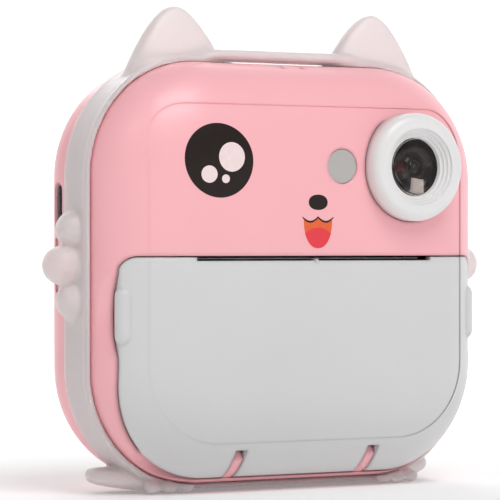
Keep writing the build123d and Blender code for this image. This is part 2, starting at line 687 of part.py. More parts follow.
# ---------------------------------------------------------------- main board and what is on it
left, right, low, high = MAIN_BOARD
main_board = block(left, right, MAIN_FRONT, MAIN_BACK, BODY_LOW + low, BODY_LOW + high)
half, top = MAIN_BOARD_TOP
main_board += block(-half, half, MAIN_FRONT, MAIN_BACK, BODY_LOW + high, BODY_LOW + top)
for x, z in main_pegs:
    main_board -= rod_y(x, z, PEG_SCREW_R + PEG_HOLE_CLEAR, 0, BACK)
save("main_board", main_board)
save("main_board_screws", *small_screws(main_pegs, MAIN_FRONT))

usb_shell = SlotCenterToCenter(USB[2] - USB[1], USB[1], rotation=90)
usb_mouth = SlotCenterToCenter(USB[2] - USB[1], USB[1] - 2 * USB_T, rotation=90)
usb_x = -HALF_W + USB_IN
usb_end = usb_x + USB[0]
usb = bar(Pos(USB_Y, USB_Z) * usb_shell, usb_x, usb_end)
usb -= bar(Pos(USB_Y, USB_Z) * usb_mouth, usb_x - CUT, usb_end - 2 * TONGUE_SHORT)
tongue = bar(Pos(USB_Y, USB_Z) * Rectangle(*TONGUE), usb_x + 2 * TONGUE_SHORT, usb_end - TONGUE_SHORT)
save("usb_inlet", usb + tongue)

card_x = -HALF_W + CARD_IN
card_end = card_x + CARD[0]
card = block(
    card_x,
    card_end,
    CARD_Y - CARD[1] / 2,
    CARD_Y + CARD[1] / 2,
    CARD_Z - CARD[2] / 2,
    CARD_Z + CARD[2] / 2,
)
save("memory_card", card)
socket = block(
    -HALF_W + WALL + SIDE_GAP,
    card_end + SOCKET_WALL[0],
    CARD_Y - CARD[1] / 2 - SOCKET_WALL[1],
    MAIN_FRONT - SEAT / 3,
    CARD_Z - CARD[2] / 2 - SOCKET_WALL[0],
    CARD_Z + CARD[2] / 2 + SOCKET_WALL[0],
)
socket -= block(
    -HALF_W,
    card_end + SOCKET_CLEAR,
    CARD_Y - CARD[1] / 2 - SOCKET_CLEAR,
    CARD_Y + CARD[1] / 2 + SOCKET_CLEAR,
    CARD_Z - CARD[2] / 2 - SOCKET_CLEAR,
    CARD_Z + CARD[2] / 2 + SOCKET_CLEAR,
)
save("card_socket", socket)

battery_y = MAIN_FRONT - SEAT - BATTERY[1]
battery_z = BODY_LOW + BATTERY_UP
battery_x = -PLATE_IN + BATTERY_CLEAR
battery_mid = (battery_x + BATTERY[0] / 2, battery_y + BATTERY[1] / 2, battery_z + BATTERY[2] / 2)
battery = Pos(*battery_mid) * Box(*BATTERY)
save("battery", fillet(battery.edges().filter_by(Axis.Z), BATTERY_R))

speaker = rod_y(SPEAKER_X, LENS_Z, SPEAKER_R, SPEAKER_FRONT, SPEAKER_FRONT + SPEAKER_RIM_T)
magnet_r = SPEAKER_R * SPEAKER_MAGNET
speaker += rod_y(SPEAKER_X, LENS_Z, magnet_r, SPEAKER_FRONT, SPEAKER_FRONT + SPEAKER_T)
save("speaker", speaker)
mic_y = FRONT + MIC_DEEP + MIC_BACK
can_z = BODY_TOP - MIC_DOWN - MIC_CAN[1] / 2
mic = Pos(0, mic_y, can_z - (MIC_CAN[1] + MIC_BOARD[2]) / 2) * Box(*MIC_BOARD)
save("microphone", mic + Pos(0, mic_y, can_z) * Cylinder(*MIC_CAN))

# ---------------------------------------------------------------- lens assembly
window_y = RING_FRONT + RING_STEPS * RING_STEP_DEEP + WINDOW_DEEP
rebate_r = RING_BORE_R + WINDOW_LIP + WINDOW_CLEAR
step_w = (RING_FACE_R - RING_BORE_R) / RING_STEPS
ring_edges = [
    Line((rebate_r, RING_BACK), (RING_R, RING_BACK)),
    Line((RING_R, RING_BACK), (RING_R, RING_FRONT + RING_EDGE)),
    CenterArc((RING_R - RING_EDGE, RING_FRONT + RING_EDGE), RING_EDGE, 0, -90),
]
last = (RING_R - RING_EDGE, RING_FRONT)
for k in range(RING_STEPS):
    r = RING_FACE_R - k * step_w
    y = RING_FRONT + k * RING_STEP_DEEP
    if k == 0:
        r = min(r, RING_R - RING_EDGE)
    for point in ((r, y), (r - RING_STEP_LEAN, y + RING_STEP_DEEP)):
        if math.dist(last, point) > 1e-6:
            ring_edges.append(Line(last, point))
            last = point
bore_points = [
    (RING_BORE_R, last[1]),
    (RING_BORE_R, window_y),
    (rebate_r, window_y),
    (rebate_r, RING_BACK),
]
for point in bore_points:
    ring_edges.append(Line(last, point))
    last = point
ring = revolve(make_face(Curve() + ring_edges), Axis.Y)
save("lens_ring", Pos(LENS_X, 0, LENS_Z) * ring)
window_r = RING_BORE_R + WINDOW_LIP
save("lens_window", rod_y(LENS_X, LENS_Z, window_r, window_y, window_y + WINDOW_T))
save("selfie_mirror", rod_y(MIRROR_X, LENS_Z, MIRROR_R, mirror_face, mirror_floor))

camera_y = COLLAR_END + SEAT / 3
camera_square = Pos(LENS_X, LENS_Z) * Rectangle(CAMERA_BOARD_W, CAMERA_BOARD_W)
save("camera_board", slab(camera_square, camera_y, camera_y + BOARD_T))
barrel_front = window_y + WINDOW_T + BARREL_GAP
nose_end = barrel_front + NOSE_L
barrel_x = LENS_X - LENS_OFF
barrel = rod_y(barrel_x, LENS_Z, BARREL_R - BARREL_CLEAR, nose_end, camera_y)
barrel += tube_y(barrel_x, LENS_Z, NOSE_R, NOSE_BORE, barrel_front, nose_end)
save("lens_barrel", barrel)
dome = Pos(barrel_x, barrel_front + DOME_DEEP, LENS_Z) * Sphere(LENS_DOME_R)
dome &= rod_y(barrel_x, LENS_Z, NOSE_BORE, barrel_front, nose_end)
save("camera_lens", dome)
led_at = Pos(LENS_X + LED_OFF[0], LENS_Z + LED_OFF[1])
save("flash_led", slab(led_at * Rectangle(LED_W, LED_W), camera_y - LED_T, camera_y))
pipe = slab(led_at * Rectangle(PIPE_W, PIPE_W), barrel_front, camera_y - LED_T)
save("flash_light_pipe", pipe)

# ---------------------------------------------------------------- gears
def gear(teeth, bore_r, phase):
    """Involute gear with stub teeth, in Y and Z about the origin, one tooth at the phase angle."""
    pitch_r = MODULE * teeth / 2
    base_r = pitch_r * math.cos(math.radians(PRESSURE))
    tip_r = pitch_r + ADDENDUM * MODULE
    root_r = pitch_r - MODULE

    def involute(r):
        roll = math.acos(min(1.0, base_r / r))
        return math.tan(roll) - roll

    half = math.pi / (2 * teeth) - BACKLASH * TEETH_PINION / teeth + involute(pitch_r)
    start = max(base_r, root_r)
    radii = [start + (tip_r - start) * k / FLANK_STEPS for k in range(FLANK_STEPS + 1)]
    flank = [(root_r, half)] + [(r, half - involute(r)) for r in radii]
    points = []
    for k in range(teeth):
        middle = math.radians(phase) + 2 * math.pi * k / teeth
        for r, angle in flank:
            points.append((r * math.cos(middle - angle), r * math.sin(middle - angle)))
        for r, angle in reversed(flank):
            points.append((r * math.cos(middle + angle), r * math.sin(middle + angle)))
    return make_face(Polyline(*points, close=True)) - Circle(bore_r)


def mesh_phase(phase, teeth, direction, next_teeth):
    """Phase of the next gear so that it meshes, along the line to it at this direction."""
    pitch = 360 / teeth
    off = (phase - direction + pitch / 2) % pitch - pitch / 2
    return direction + 180 - off * teeth / next_teeth + 180 / next_teeth


idler_y = PLATEN_Y + MODULE * (TEETH_PLATEN + TEETH_IDLER) / 2
pinion_reach = MODULE * (TEETH_IDLER + TEETH_PINION) / 2
pinion_y = idler_y + pinion_reach * math.cos(math.radians(MESH_LEAN))
pinion_z = PLATEN_Z + pinion_reach * math.sin(math.radians(MESH_LEAN))
idler_phase = mesh_phase(0, TEETH_PLATEN, 0, TEETH_IDLER)
pinion_phase = mesh_phase(idler_phase, TEETH_IDLER, MESH_LEAN, TEETH_PINION)
GEAR_X1 = GEAR_X0 + GEAR_W
platen_gear = bar(Pos(PLATEN_Y, PLATEN_Z) * gear(TEETH_PLATEN, SHAFT_R, 0), GEAR_X0, GEAR_X1)
save("platen_gear", platen_gear)
idler = gear(TEETH_IDLER, SHAFT_R + SHAFT_CLEAR, idler_phase)
save("idler_gear", bar(Pos(idler_y, PLATEN_Z) * idler, GEAR_X0, GEAR_X1))
pinion = gear(TEETH_PINION, MOTOR_SHAFT_R, pinion_phase)
save("motor_pinion", bar(Pos(pinion_y, pinion_z) * pinion, GEAR_X0, GEAR_X1))
save("idler_pin", rod_x(idler_y, PLATEN_Z, SHAFT_R, PLATE_IN, GEAR_X1 + PIN_END))

# ---------------------------------------------------------------- platen on the door
shaft_start = -BRACKET_X - BUSH_W - PIN_END
platen_shaft = rod_x(PLATEN_Y, PLATEN_Z, SHAFT_R, shaft_start, GEAR_X1 + SHAFT_END)
save("platen_shaft", platen_shaft)
rubber = Pos(PLATEN_Y, PLATEN_Z) * (Circle(PLATEN_R) - Circle(SHAFT_R))
save("platen_rubber", bar(rubber, -RUBBER_HALF, RUBBER_HALF))
bush = Pos(PLATEN_Y, PLATEN_Z) * (Circle(BUSH_R) - Circle(SHAFT_R + SHAFT_CLEAR))
save("platen_bushings", *mirrored(bar(bush, BRACKET_X, BRACKET_X + BUSH_W)))

# ---------------------------------------------------------------- printer frame and cradle
FRAME_LOW, FRAME_TOP = [BODY_LOW + up for up in FRAME_UP]
PLATE_FRONT = FRONT + PLATE_DEEP
PLATE_BACK = BUTTON_BOARD_Y - BOARD_T - PLATE_BACK_GAP
plate_step = ROLL_Z + ROLL_R - PLATE_STEP_DOWN
plate = Polyline(
    (PLATE_FRONT, FRAME_LOW + PLATE_BEVEL[1]),
    (PLATE_FRONT + PLATE_BEVEL[0], FRAME_LOW),
    (PLATE_BACK, FRAME_LOW),
    (PLATE_BACK, ROLL_Z + ROLL_R),
    (MAIN_FRONT - 2 * SEAT, ROLL_Z + ROLL_R),
    (MAIN_FRONT - 2 * SEAT, FRAME_TOP),
    (HEAD_Y, FRAME_TOP),
    (HEAD_Y, plate_step),
    (PLATE_FRONT, plate_step),
    close=True,
)
side_plate = make_face(plate)
trough = Pos(ROLL_Y, ROLL_Z) * (Circle(CRADLE_R + CRADLE_T) - Circle(CRADLE_R))
open_mid = Pos(ROLL_Y + CRADLE_OPEN[0] - FAR / 2, ROLL_Z + CRADLE_OPEN[1] + FAR / 2)
cradle = trough - open_mid * Rectangle(FAR, FAR)
behind, back_low, back_high = CRADLE_BACK
back_mid = Pos(ROLL_Y + behind + FAR / 2, ROLL_Z + (back_low + back_high) / 2)
cradle_back = trough & (back_mid * Rectangle(FAR, back_high - back_low))
frame = bar(cradle, -PLATE_IN, PLATE_IN) + bar(cradle_back, -PLATE_IN, PLATE_IN)
wall_y = HEAD_Y + HEAD_T + SPRING_H
WALL_LOW = ROLL_Z + CRADLE_R + HEAD_WALL_UP
wall_high = pinion_z - MOTOR_R - SIDE_GAP
frame += block(-PLATE_IN, PLATE_IN, wall_y, wall_y + RIB_T, WALL_LOW, wall_high)
flange_y = FRONT + FLANGE_DEEP
flange_low, flange_high = [FRAME_LOW + up for up in FLANGE_UP]
for side in (-1, 1):
    x0 = PLATE_IN if side > 0 else -PLATE_OUT
    frame += bar(side_plate, x0, x0 + FRAME_T)
    far = side * (POST_LOW[0] - POST_R - SEAT)
    near = side * (PLATE_OUT - FRAME_T / 3)
    ends = sorted((near, far))
    frame += block(*ends, flange_y, flange_y + RIB_T, flange_low, flange_high)
motor_hole = MOTOR_SHAFT_R + MOTOR_SHAFT_ROOM
frame -= rod_x(pinion_y, pinion_z, motor_hole, PLATE_IN - CUT, PLATE_OUT + CUT)
frame -= rod_x(idler_y, PLATEN_Z, SHAFT_R, PLATE_IN - CUT, PLATE_OUT + CUT)
save("printer_frame", frame)

head_half = PAPER_W / 2
head_low = PLATEN_Z - HEAD_H / 2
head = block(-head_half, head_half, HEAD_Y, HEAD_Y + HEAD_T, head_low, head_low + HEAD_H)
save("thermal_print_head", head)
head_back = HEAD_Y + HEAD_T
inner_flat = SPRING_FLAT - SPRING_NIP
spring_shape = Polyline(
    (-SPRING_HALF, head_back),
    (-SPRING_FLAT, wall_y),
    (SPRING_FLAT, wall_y),
    (SPRING_HALF, head_back),
    (SPRING_HALF - SPRING_FOOT, head_back),
    (inner_flat, wall_y - SPRING_T),
    (-inner_flat, wall_y - SPRING_T),
    (-SPRING_HALF + SPRING_FOOT, head_back),
    close=True,
)
spring = extrude(Plane.XY.offset(WALL_LOW + SPRING_UP) * make_face(spring_shape), SPRING_W)
save("head_spring", spring)
motor = rod_x(pinion_y, pinion_z, MOTOR_R, PLATE_IN - MOTOR_L, PLATE_IN)
bore_start = PLATE_IN - MOTOR_SHAFT_IN - 2 * SHAFT_CLEAR
motor -= rod_x(pinion_y, pinion_z, MOTOR_SHAFT_R + SHAFT_CLEAR, bore_start, PLATE_IN + CUT)
save("stepper_motor", motor)
shaft_start = PLATE_IN - MOTOR_SHAFT_IN
save("motor_shaft", rod_x(pinion_y, pinion_z, MOTOR_SHAFT_R, shaft_start, GEAR_X1 + SHAFT_END))

# tear bar: a strip with a saw edge towards the slot
tooth_w, tooth_deep = TEAR_TOOTH
tear_half = TEAR_W / 2
tear_y0, tear_y1 = FRONT + WALL + TEAR_GAP, FRONT + TEAR_BACK
count = round(TEAR_W / tooth_w)
saw = [(-tear_half, tear_y1)]
for k in range(count):
    saw.append((-tear_half + k * tooth_w, tear_y0 + tooth_deep))
    saw.append((-tear_half + (k + 0.5) * tooth_w, tear_y0))
saw += [(tear_half, tear_y0 + tooth_deep), (tear_half, tear_y1)]
save("tear_bar", extrude(Plane.XY.offset(TEAR_Z) * make_face(Polyline(*saw, close=True)), TEAR_T))

# ---------------------------------------------------------------- paper
half_paper = PAPER_W / 2
roll_face = Pos(ROLL_Y, ROLL_Z) * (Circle(ROLL_R) - Circle(CORE_R))
save("paper_roll", bar(roll_face, -half_paper, half_paper))
core_face = Pos(ROLL_Y, ROLL_Z) * (Circle(CORE_R) - Circle(CORE_R - CORE_WALL))
save("roll_core", bar(core_face, -half_paper, half_paper))


def ribbon(points, thick):
    """A thin strip along a line in Y and Z, half the thickness to each side."""
    left, right = [], []
    for k, (y, z) in enumerate(points):
        before = points[max(k - 1, 0)]
        after = points[min(k + 1, len(points) - 1)]
        run = math.dist(before, after)
        ny, nz = -(after[1] - before[1]) / run, (after[0] - before[0]) / run
        left.append((y + ny * thick / 2, z + nz * thick / 2))
        right.append((y - ny * thick / 2, z - nz * thick / 2))
    return make_face(Polyline(*left, *reversed(right), close=True))


web_y = PLATEN_Y + PLATEN_R + HEAD_GAP / 2
bend = (web_y, PLATEN_Z - HEAD_H / 2 - WEB_BEND)
wrap_r = ROLL_R + PAPER_T
to_bend = math.atan2(bend[1] - ROLL_Z, bend[0] - ROLL_Y)
reach = math.acos(wrap_r / math.dist(bend, (ROLL_Y, ROLL_Z)))
leave = (
    ROLL_Y + wrap_r * math.cos(to_bend + reach),
    ROLL_Z + wrap_r * math.sin(to_bend + reach),
)
slot_z = DOOR_Z1 - SLOT_H * SLOT_SHARE
(turn_y, turn_z), level_y = WEB_TURN
web_line = [leave, bend, (web_y, PLATEN_Z + WEB_RISE)]
web_line += [(web_y - turn_y, slot_z - turn_z), (web_y - level_y, slot_z), (slot_back, slot_z)]
save("paper_web", bar(ribbon(web_line, PAPER_T), -half_paper, half_paper))

# ---------------------------------------------------------------- silicone sleeve
ring_y0 = FRONT + SLEEVE_FRONT
ring_y1 = ring_y0 + SLEEVE_W
grow = SLEEVE_GAP + SLEEVE_T
band = outline(
    HALF_W + grow, BODY_LOW - grow, BODY_TOP + grow, CORNER_R + grow, CORNER_R + grow
)
sleeve = slab(band, ring_y0, ring_y1)
bridge_z = BODY_TOP + BRIDGE_RISE
bridge_half = BRIDGE_HALF + BRIDGE_LAP
sleeve += block(-bridge_half, bridge_half, ring_y0, ring_y1, BODY_TOP, bridge_z + BRIDGE_T)
foot_x = (FOOT_IN + FOOT_OUT) / 2
foot_y = ring_y0 + SLEEVE_W / 2 + FOOT_BACK
foot = Pos(foot_x, foot_y, FOOT_H / 2) * Box(FOOT_OUT - FOOT_IN, FOOT_D, FOOT_H)
foot = fillet(foot.edges().filter_by(Axis.Z), FOOT_R)
foot = fillet(foot.faces().sort_by(Axis.Z)[0].edges(), FOOT_EDGE)
ear_circles = [
    Pos(EAR_X, DOOR_Z1 + DOOR_GAP + EAR_TIP - EAR_TIP_R) * Circle(EAR_TIP_R),
    Pos(EAR_BASE_IN + EAR_BASE_R, BODY_TOP - EAR_DOWN[0]) * Circle(EAR_BASE_R),
    Pos(EAR_BASE_OUT - EAR_BASE_R, BODY_TOP - EAR_DOWN[1]) * Circle(EAR_BASE_R),
]
ear = make_hull([edge for circle in ear_circles for edge in circle.edges()])
extras = [foot, slab(ear, ring_y0 + EAR_DEEP, ring_y0 + EAR_DEEP + EAR_T)]
for k in (-1, 0, 1):
    paw_x = HALF_W + PAW_OUT * (PAW_SHARE if k else 1) - PAW_R
    ball = Pos(paw_x, FRONT + PAW_DEEP, BODY_LOW + PAW_UP + k * PAW_STEP) * Rot(0, 90, 0)
    extras.append(ball * Sphere(PAW_R))
sleeve = sleeve.fuse(*[part for extra in extras for part in mirrored(extra)])
sleeve -= body(-SLEEVE_GAP)
sleeve -= block(-BRIDGE_HALF, BRIDGE_HALF, ring_y0 - CUT, ring_y1 + CUT, BODY_TOP - CUT, bridge_z)
save("silicone_sleeve", sleeve)
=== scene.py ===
import math

import bmesh
import bpy
import numpy as np
from bpy.props import FloatProperty, FloatVectorProperty, PointerProperty
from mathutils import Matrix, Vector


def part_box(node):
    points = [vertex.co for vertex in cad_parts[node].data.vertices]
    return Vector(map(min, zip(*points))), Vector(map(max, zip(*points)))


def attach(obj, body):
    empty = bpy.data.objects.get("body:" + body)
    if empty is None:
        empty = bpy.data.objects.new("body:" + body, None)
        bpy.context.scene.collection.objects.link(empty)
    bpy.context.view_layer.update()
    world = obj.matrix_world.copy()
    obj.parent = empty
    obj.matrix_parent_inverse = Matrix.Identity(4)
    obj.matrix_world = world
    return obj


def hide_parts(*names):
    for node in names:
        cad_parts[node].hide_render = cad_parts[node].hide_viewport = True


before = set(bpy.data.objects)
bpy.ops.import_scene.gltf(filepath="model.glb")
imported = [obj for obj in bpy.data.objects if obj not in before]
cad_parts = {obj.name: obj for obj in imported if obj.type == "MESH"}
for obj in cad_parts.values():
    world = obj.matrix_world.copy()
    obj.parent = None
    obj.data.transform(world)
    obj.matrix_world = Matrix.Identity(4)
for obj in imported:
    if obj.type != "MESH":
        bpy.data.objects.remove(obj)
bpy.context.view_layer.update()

bl_info = {
    "name": "Kids Instant Camera Looks",
    "version": (1, 0, 0),
    "blender": (4, 5, 0),
    "location": "View3D > Sidebar > Kids Camera",
    "description": "Dresses the packed model of a kids instant-print camera",
    "category": "Add Mesh",
}

MM = 0.001


def node_box(name):
    """A node's lowest and highest corner at rest, in millimetres."""
    low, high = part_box(name)
    return np.array(low) / MM, np.array(high) / MM


# ---------------------------------------------------------------- sizes read from the frame, mm
SHELL_LOW, SHELL_HIGH = node_box("front_shell")
RING_LOW, RING_HIGH = node_box("lens_ring")
WINDOW_LOW, WINDOW_HIGH = node_box("lens_window")
EAR_TIP = node_box("silicone_sleeve")[1][2]
DOOR_TOP = node_box("printer_door")[1][2]
HALF_W = SHELL_HIGH[0]
MID_Z = (SHELL_LOW[2] + SHELL_HIGH[2]) / 2
HALF_H = (SHELL_HIGH[2] - SHELL_LOW[2]) / 2
TOP_Z = SHELL_HIGH[2]
SEAM_Z = DOOR_TOP + 0.3     # the shell starts above the door's gap

# the body's corners and edge roll, as the CAD shell has them
CREASE = 0.2                # step at the rim of the recessed panel
FACE_Y = SHELL_LOW[1] - CREASE
CORNER_R = 25.0
ROLL_IN = 21.0              # the roll's reach in from the outline
ROLL_DEEP = 14.0            # and its reach back from the face


def past_corner(x, z):
    """How far points lie past the outline's corner centres, along X and along Z."""
    past_x = np.maximum(np.abs(x) - (HALF_W - CORNER_R), 0.0)
    past_z = np.maximum(np.abs(z - MID_Z) - (HALF_H - CORNER_R), 0.0)
    return past_x, past_z


def body_inset(x, z):
    """Distance in from the body's rounded outline, for points given by x and z."""
    return CORNER_R - np.hypot(*past_corner(x, z))


def face_y(x, z):
    """Depth of the front surface: the panel's face, falling back in a quarter ellipse near the rim.

    The fall is the roll's depth times one less the root of one less the square of how far the
    point has come from the roll's inner edge to the outline.
    """
    t = np.clip((ROLL_IN - body_inset(x, z)) / ROLL_IN, 0.0, 1.0)
    return FACE_Y + CREASE + ROLL_DEEP * (1 - np.sqrt(1 - t * t))


# ---------------------------------------------------------------- mesh helpers
def add_mesh(name, verts, faces, smooth=True):
    """Put vertices in millimetres and a face array into a new object at the origin."""
    mesh = bpy.data.meshes.new(name)
    verts = np.asarray(verts, dtype=float) * MM
    mesh.from_pydata(verts.tolist(), [], [list(f) for f in faces])
    mesh.validate()
    mesh.polygons.foreach_set("use_smooth", [smooth] * len(mesh.polygons))
    obj = bpy.data.objects.new(name, mesh)
    bpy.context.scene.collection.objects.link(obj)
    return obj


def grid_faces(rows, columns, close_rows=False, close_columns=False, start=0):
    """Quads of a rows by columns grid of vertices, numbered row by row from start."""
    i = np.arange(rows if close_rows else rows - 1)
    j = np.arange(columns if close_columns else columns - 1)
    i, j = np.meshgrid(i, j, indexing="ij")
    a = i * columns + j
    b = ((i + 1) % rows) * columns + j
    c = ((i + 1) % rows) * columns + (j + 1) % columns
    d = i * columns + (j + 1) % columns
    return (np.stack([a, b, c, d], axis=-1) + start).reshape(-1, 4)


def recalculated(obj):
    """Merge doubles and point the faces outwards."""
    work = bmesh.new()
    work.from_mesh(obj.data)
    bmesh.ops.remove_doubles(work, verts=work.verts, dist=1e-7)
    bmesh.ops.recalc_face_normals(work, faces=work.faces)
    work.to_mesh(obj.data)
    work.free()
    obj.data.polygons.foreach_set("use_smooth", [True] * len(obj.data.polygons))
    return obj


def baked(obj):
    """The object with its modifiers applied to its mesh."""
    graph = bpy.context.evaluated_depsgraph_get()
    mesh = bpy.data.meshes.new_from_object(obj.evaluated_get(graph))
    obj.modifiers.clear()
    old = obj.data
    obj.data = mesh
    mesh.name = obj.name
    bpy.data.meshes.remove(old)
    return obj


def smooth_step(low, high, value):
    """0 below low, 1 above high, and a cubic ease between."""
    t = np.clip((value - low) / (high - low), 0.0, 1.0)
    return t * t * (3 - 2 * t)


def signed_power(value, exponent):
    """A power of the size of a value that keeps its sign, as superellipses need."""
    return np.sign(value) * np.abs(value) ** exponent


def full_turn(count):
    """Angles of evenly spaced points once round a circle."""
    return np.linspace(0, 2 * np.pi, count, endpoint=False)


def outline(below, above):
    """A closed outline from two rows of x and z: along the first and back along the second."""
    return np.concatenate([np.stack(below, axis=1), np.stack(above, axis=1)[::-1]])


# ---------------------------------------------------------------- materials
def principled(name, colour, roughness, **sockets):
    """A new material's Principled shader, with constants set on its own sockets."""
    material = bpy.data.materials.new(name)
    material.use_nodes = True
    shader = material.node_tree.nodes["Principled BSDF"]
    shader.inputs["Base Color"].default_value = (*colour[:3], 1.0)
    shader.inputs["Roughness"].default_value = roughness
    for key, value in sockets.items():
        shader.inputs[key.replace("_", " ")].default_value = value
    return material, shader


def noise(tree, scale, detail=3.0, stretch=(1, 1, 1)):
    """Noise on Object coordinates; the scale is in features per metre."""
    place = tree.nodes.new("ShaderNodeTexCoord")
    mapping = tree.nodes.new("ShaderNodeMapping")
    mapping.inputs["Scale"].default_value = stretch
    texture = tree.nodes.new("ShaderNodeTexNoise")
    texture.inputs["Scale"].default_value = scale
    texture.inputs["Detail"].default_value = detail
    tree.links.new(place.outputs["Object"], mapping.inputs["Vector"])
    tree.links.new(mapping.outputs["Vector"], texture.inputs["Vector"])
    return texture.outputs["Fac"]


def vary_colour(material, shader, colour, amount, scale):
    """Let the base colour drift between a little darker and a little lighter."""
    tree = material.node_tree
    ramp = tree.nodes.new("ShaderNodeValToRGB")
    darker = tuple(c * (1 - amount) for c in colour)
    lighter = tuple(min(1, c * (1 + amount)) for c in colour)
    for element, end, at in zip(ramp.color_ramp.elements, (darker, lighter), (0.3, 0.7)):
        element.color = (*end, 1.0)
        element.position = at
    tree.links.new(noise(tree, scale), ramp.inputs["Fac"])
    tree.links.new(ramp.outputs["Color"], shader.inputs["Base Color"])


def vary_roughness(material, shader, low, high, scale):
    """Let the roughness drift between two values."""
    tree = material.node_tree
    span = tree.nodes.new("ShaderNodeMapRange")
    span.inputs["To Min"].default_value = low
    span.inputs["To Max"].default_value = high
    tree.links.new(noise(tree, scale, 4.0), span.inputs["Value"])
    tree.links.new(span.outputs["Result"], shader.inputs["Roughness"])


def grain(material, shader, scale, strength, depth, stretch=(1, 1, 1), edge=0.0):
    """A fine bump from noise: the spark-eroded texture of a mould, or brushed lines.

    Where an edge radius is given, in metres, sharp edges shade as if they were rounded by it.
    """
    tree = material.node_tree
    bump = tree.nodes.new("ShaderNodeBump")
    if edge:
        rounded = tree.nodes.new("ShaderNodeBevel")
        rounded.samples = 6
        rounded.inputs["Radius"].default_value = edge
        tree.links.new(rounded.outputs["Normal"], bump.inputs["Normal"])
    bump.inputs["Strength"].default_value = strength
    bump.inputs["Distance"].default_value = depth
    tree.links.new(noise(tree, scale, 2.0, stretch), bump.inputs["Height"])
    tree.links.new(bump.outputs["Normal"], shader.inputs["Normal"])


def plastic(name, colour, roughness, grain_scale=2500, grain_strength=0.08, edge=0.0, **sockets):
    """Moulded plastic: faint colour and gloss drift, a fine mould grain and softened edges."""
    material, shader = principled(name, colour, roughness, **sockets)
    vary_colour(material, shader, colour, 0.012, 40)
    vary_roughness(material, shader, roughness - 0.04, roughness + 0.05, 160)
    grain(material, shader, grain_scale, grain_strength, 0.00004, edge=edge)
    return material


def metal(name, colour, roughness, brush=(1, 1, 1)):
    """Plated or brushed metal, with lines along the brush direction."""
    material, shader = principled(name, colour, roughness, Metallic=1.0)
    vary_roughness(material, shader, roughness * 0.8, roughness * 1.3, 700)
    grain(material, shader, 1500, 0.12, 0.00003, brush)
    return material


def silicone(name, colour):
    """Frosted silicone: light scatters in it and a little passes through."""
    material, shader = principled(
        name,
        colour,
        0.34,
        Subsurface_Weight=0.5,
        Subsurface_Scale=0.004,
        Transmission_Weight=0.38,
        IOR=1.41,
        Sheen_Weight=0.5,
    )
    shader.inputs["Subsurface Radius"].default_value = (1.0, 0.75, 0.7)
    vary_roughness(material, shader, 0.3, 0.42, 220)
    grain(material, shader, 1800, 0.12, 0.00004)
    return material


def clear(name, colour, roughness, ior=1.5):
    """Clear or tinted glass and acrylic, with faint smears in its gloss."""
    material, shader = principled(name, colour, roughness, Transmission_Weight=1.0, IOR=ior)
    vary_roughness(material, shader, roughness, roughness + 0.03, 300)
    return material


def ink(name, colour, roughness=0.38):
    """Pad-printed ink: even colour with a faint grain and slightly uneven gloss."""
    material, shader = principled(name, colour, roughness, Specular_IOR_Level=0.3)
    vary_colour(material, shader, colour, 0.03, 900)
    grain(material, shader, 3500, 0.06, 0.00003)
    return material


def board(name, colour):
    """Circuit board: solder mask with copper tracks showing as a paler pattern."""
    material, shader = principled(name, colour, 0.35)
    tree = material.node_tree
    place = tree.nodes.new("ShaderNodeTexCoord")
    brick = tree.nodes.new("ShaderNodeTexBrick")
    brick.inputs["Scale"].default_value = 260
    brick.inputs["Color1"].default_value = (*colour, 1)
    brick.inputs["Color2"].default_value = (*(c * 1.35 for c in colour), 1)
    brick.inputs["Mortar"].default_value = (*(c * 0.7 for c in colour), 1)
    tree.links.new(place.outputs["Object"], brick.inputs["Vector"])
    tree.links.new(brick.outputs["Color"], shader.inputs["Base Color"])
    vary_roughness(material, shader, 0.3, 0.5, 400)
    return material


# ---------------------------------------------------------------- settings shown in the panel
def tint(name, description, default):
    """A colour setting."""
    return FloatVectorProperty(
        name=name, description=description, subtype="COLOR", size=3, min=0, max=1, default=default
    )


def length(name, description, low, high, default):
    """A length setting, in metres."""
    return FloatProperty(
        name=name, description=description, subtype="DISTANCE", unit="LENGTH",
        min=low, max=high, default=default,
    )


class CameraLookSettings(bpy.types.PropertyGroup):
    """Sizes and colours of the dressed camera."""

    shell_colour: tint("Shell", "Pink of the two shells", (1.0, 0.49, 0.53))
    door_colour: tint("Door", "White of the printer door", (0.70, 0.70, 0.705))
    ring_colour: tint("Lens ring", "White of the lens ring", (0.82, 0.81, 0.81))
    sleeve_colour: tint("Sleeve", "Tint of the frosted silicone", (1.0, 0.87, 0.87))
    ink_colour: tint("Ink", "Dark ink of the eye, nose and mouth line", (0.016, 0.009, 0.008))
    mouth_colour: tint("Mouth", "Orange ink of the open mouth", (0.83, 0.14, 0.04))
    tongue_colour: tint("Tongue", "Red ink of the tongue", (0.83, 0.055, 0.07))
    eye_width: length("Eye width", "Width of the printed eye", 0.005, 0.03, 0.0166)
    eye_height: length("Eye height", "Height of the printed eye", 0.005, 0.03, 0.0158)
    mouth_width: length("Mouth width", "Width of the open mouth", 0.002, 0.02, 0.0073)
    sleeve_thickness: length(
        "Sleeve thickness", "Wall of the silicone band", 0.0005, 0.003, 0.0009
    )
    sleeve_voxel: length(
        "Sleeve voxel", "Grid that the sleeve's forms are joined on", 0.0002, 0.002, 0.00042
    )
    key_power: FloatProperty(
        name="Key light", description="Power of the large soft light", unit="POWER",
        min=0.0, max=200.0, default=7.9,
    )
    world_level: FloatProperty(
        name="Surround", description="Strength of the white surround", subtype="FACTOR",
        min=0.0, max=5.0, default=0.34,
    )


def settings():
    """The scene's settings for this camera."""
    return bpy.context.scene.camera_look


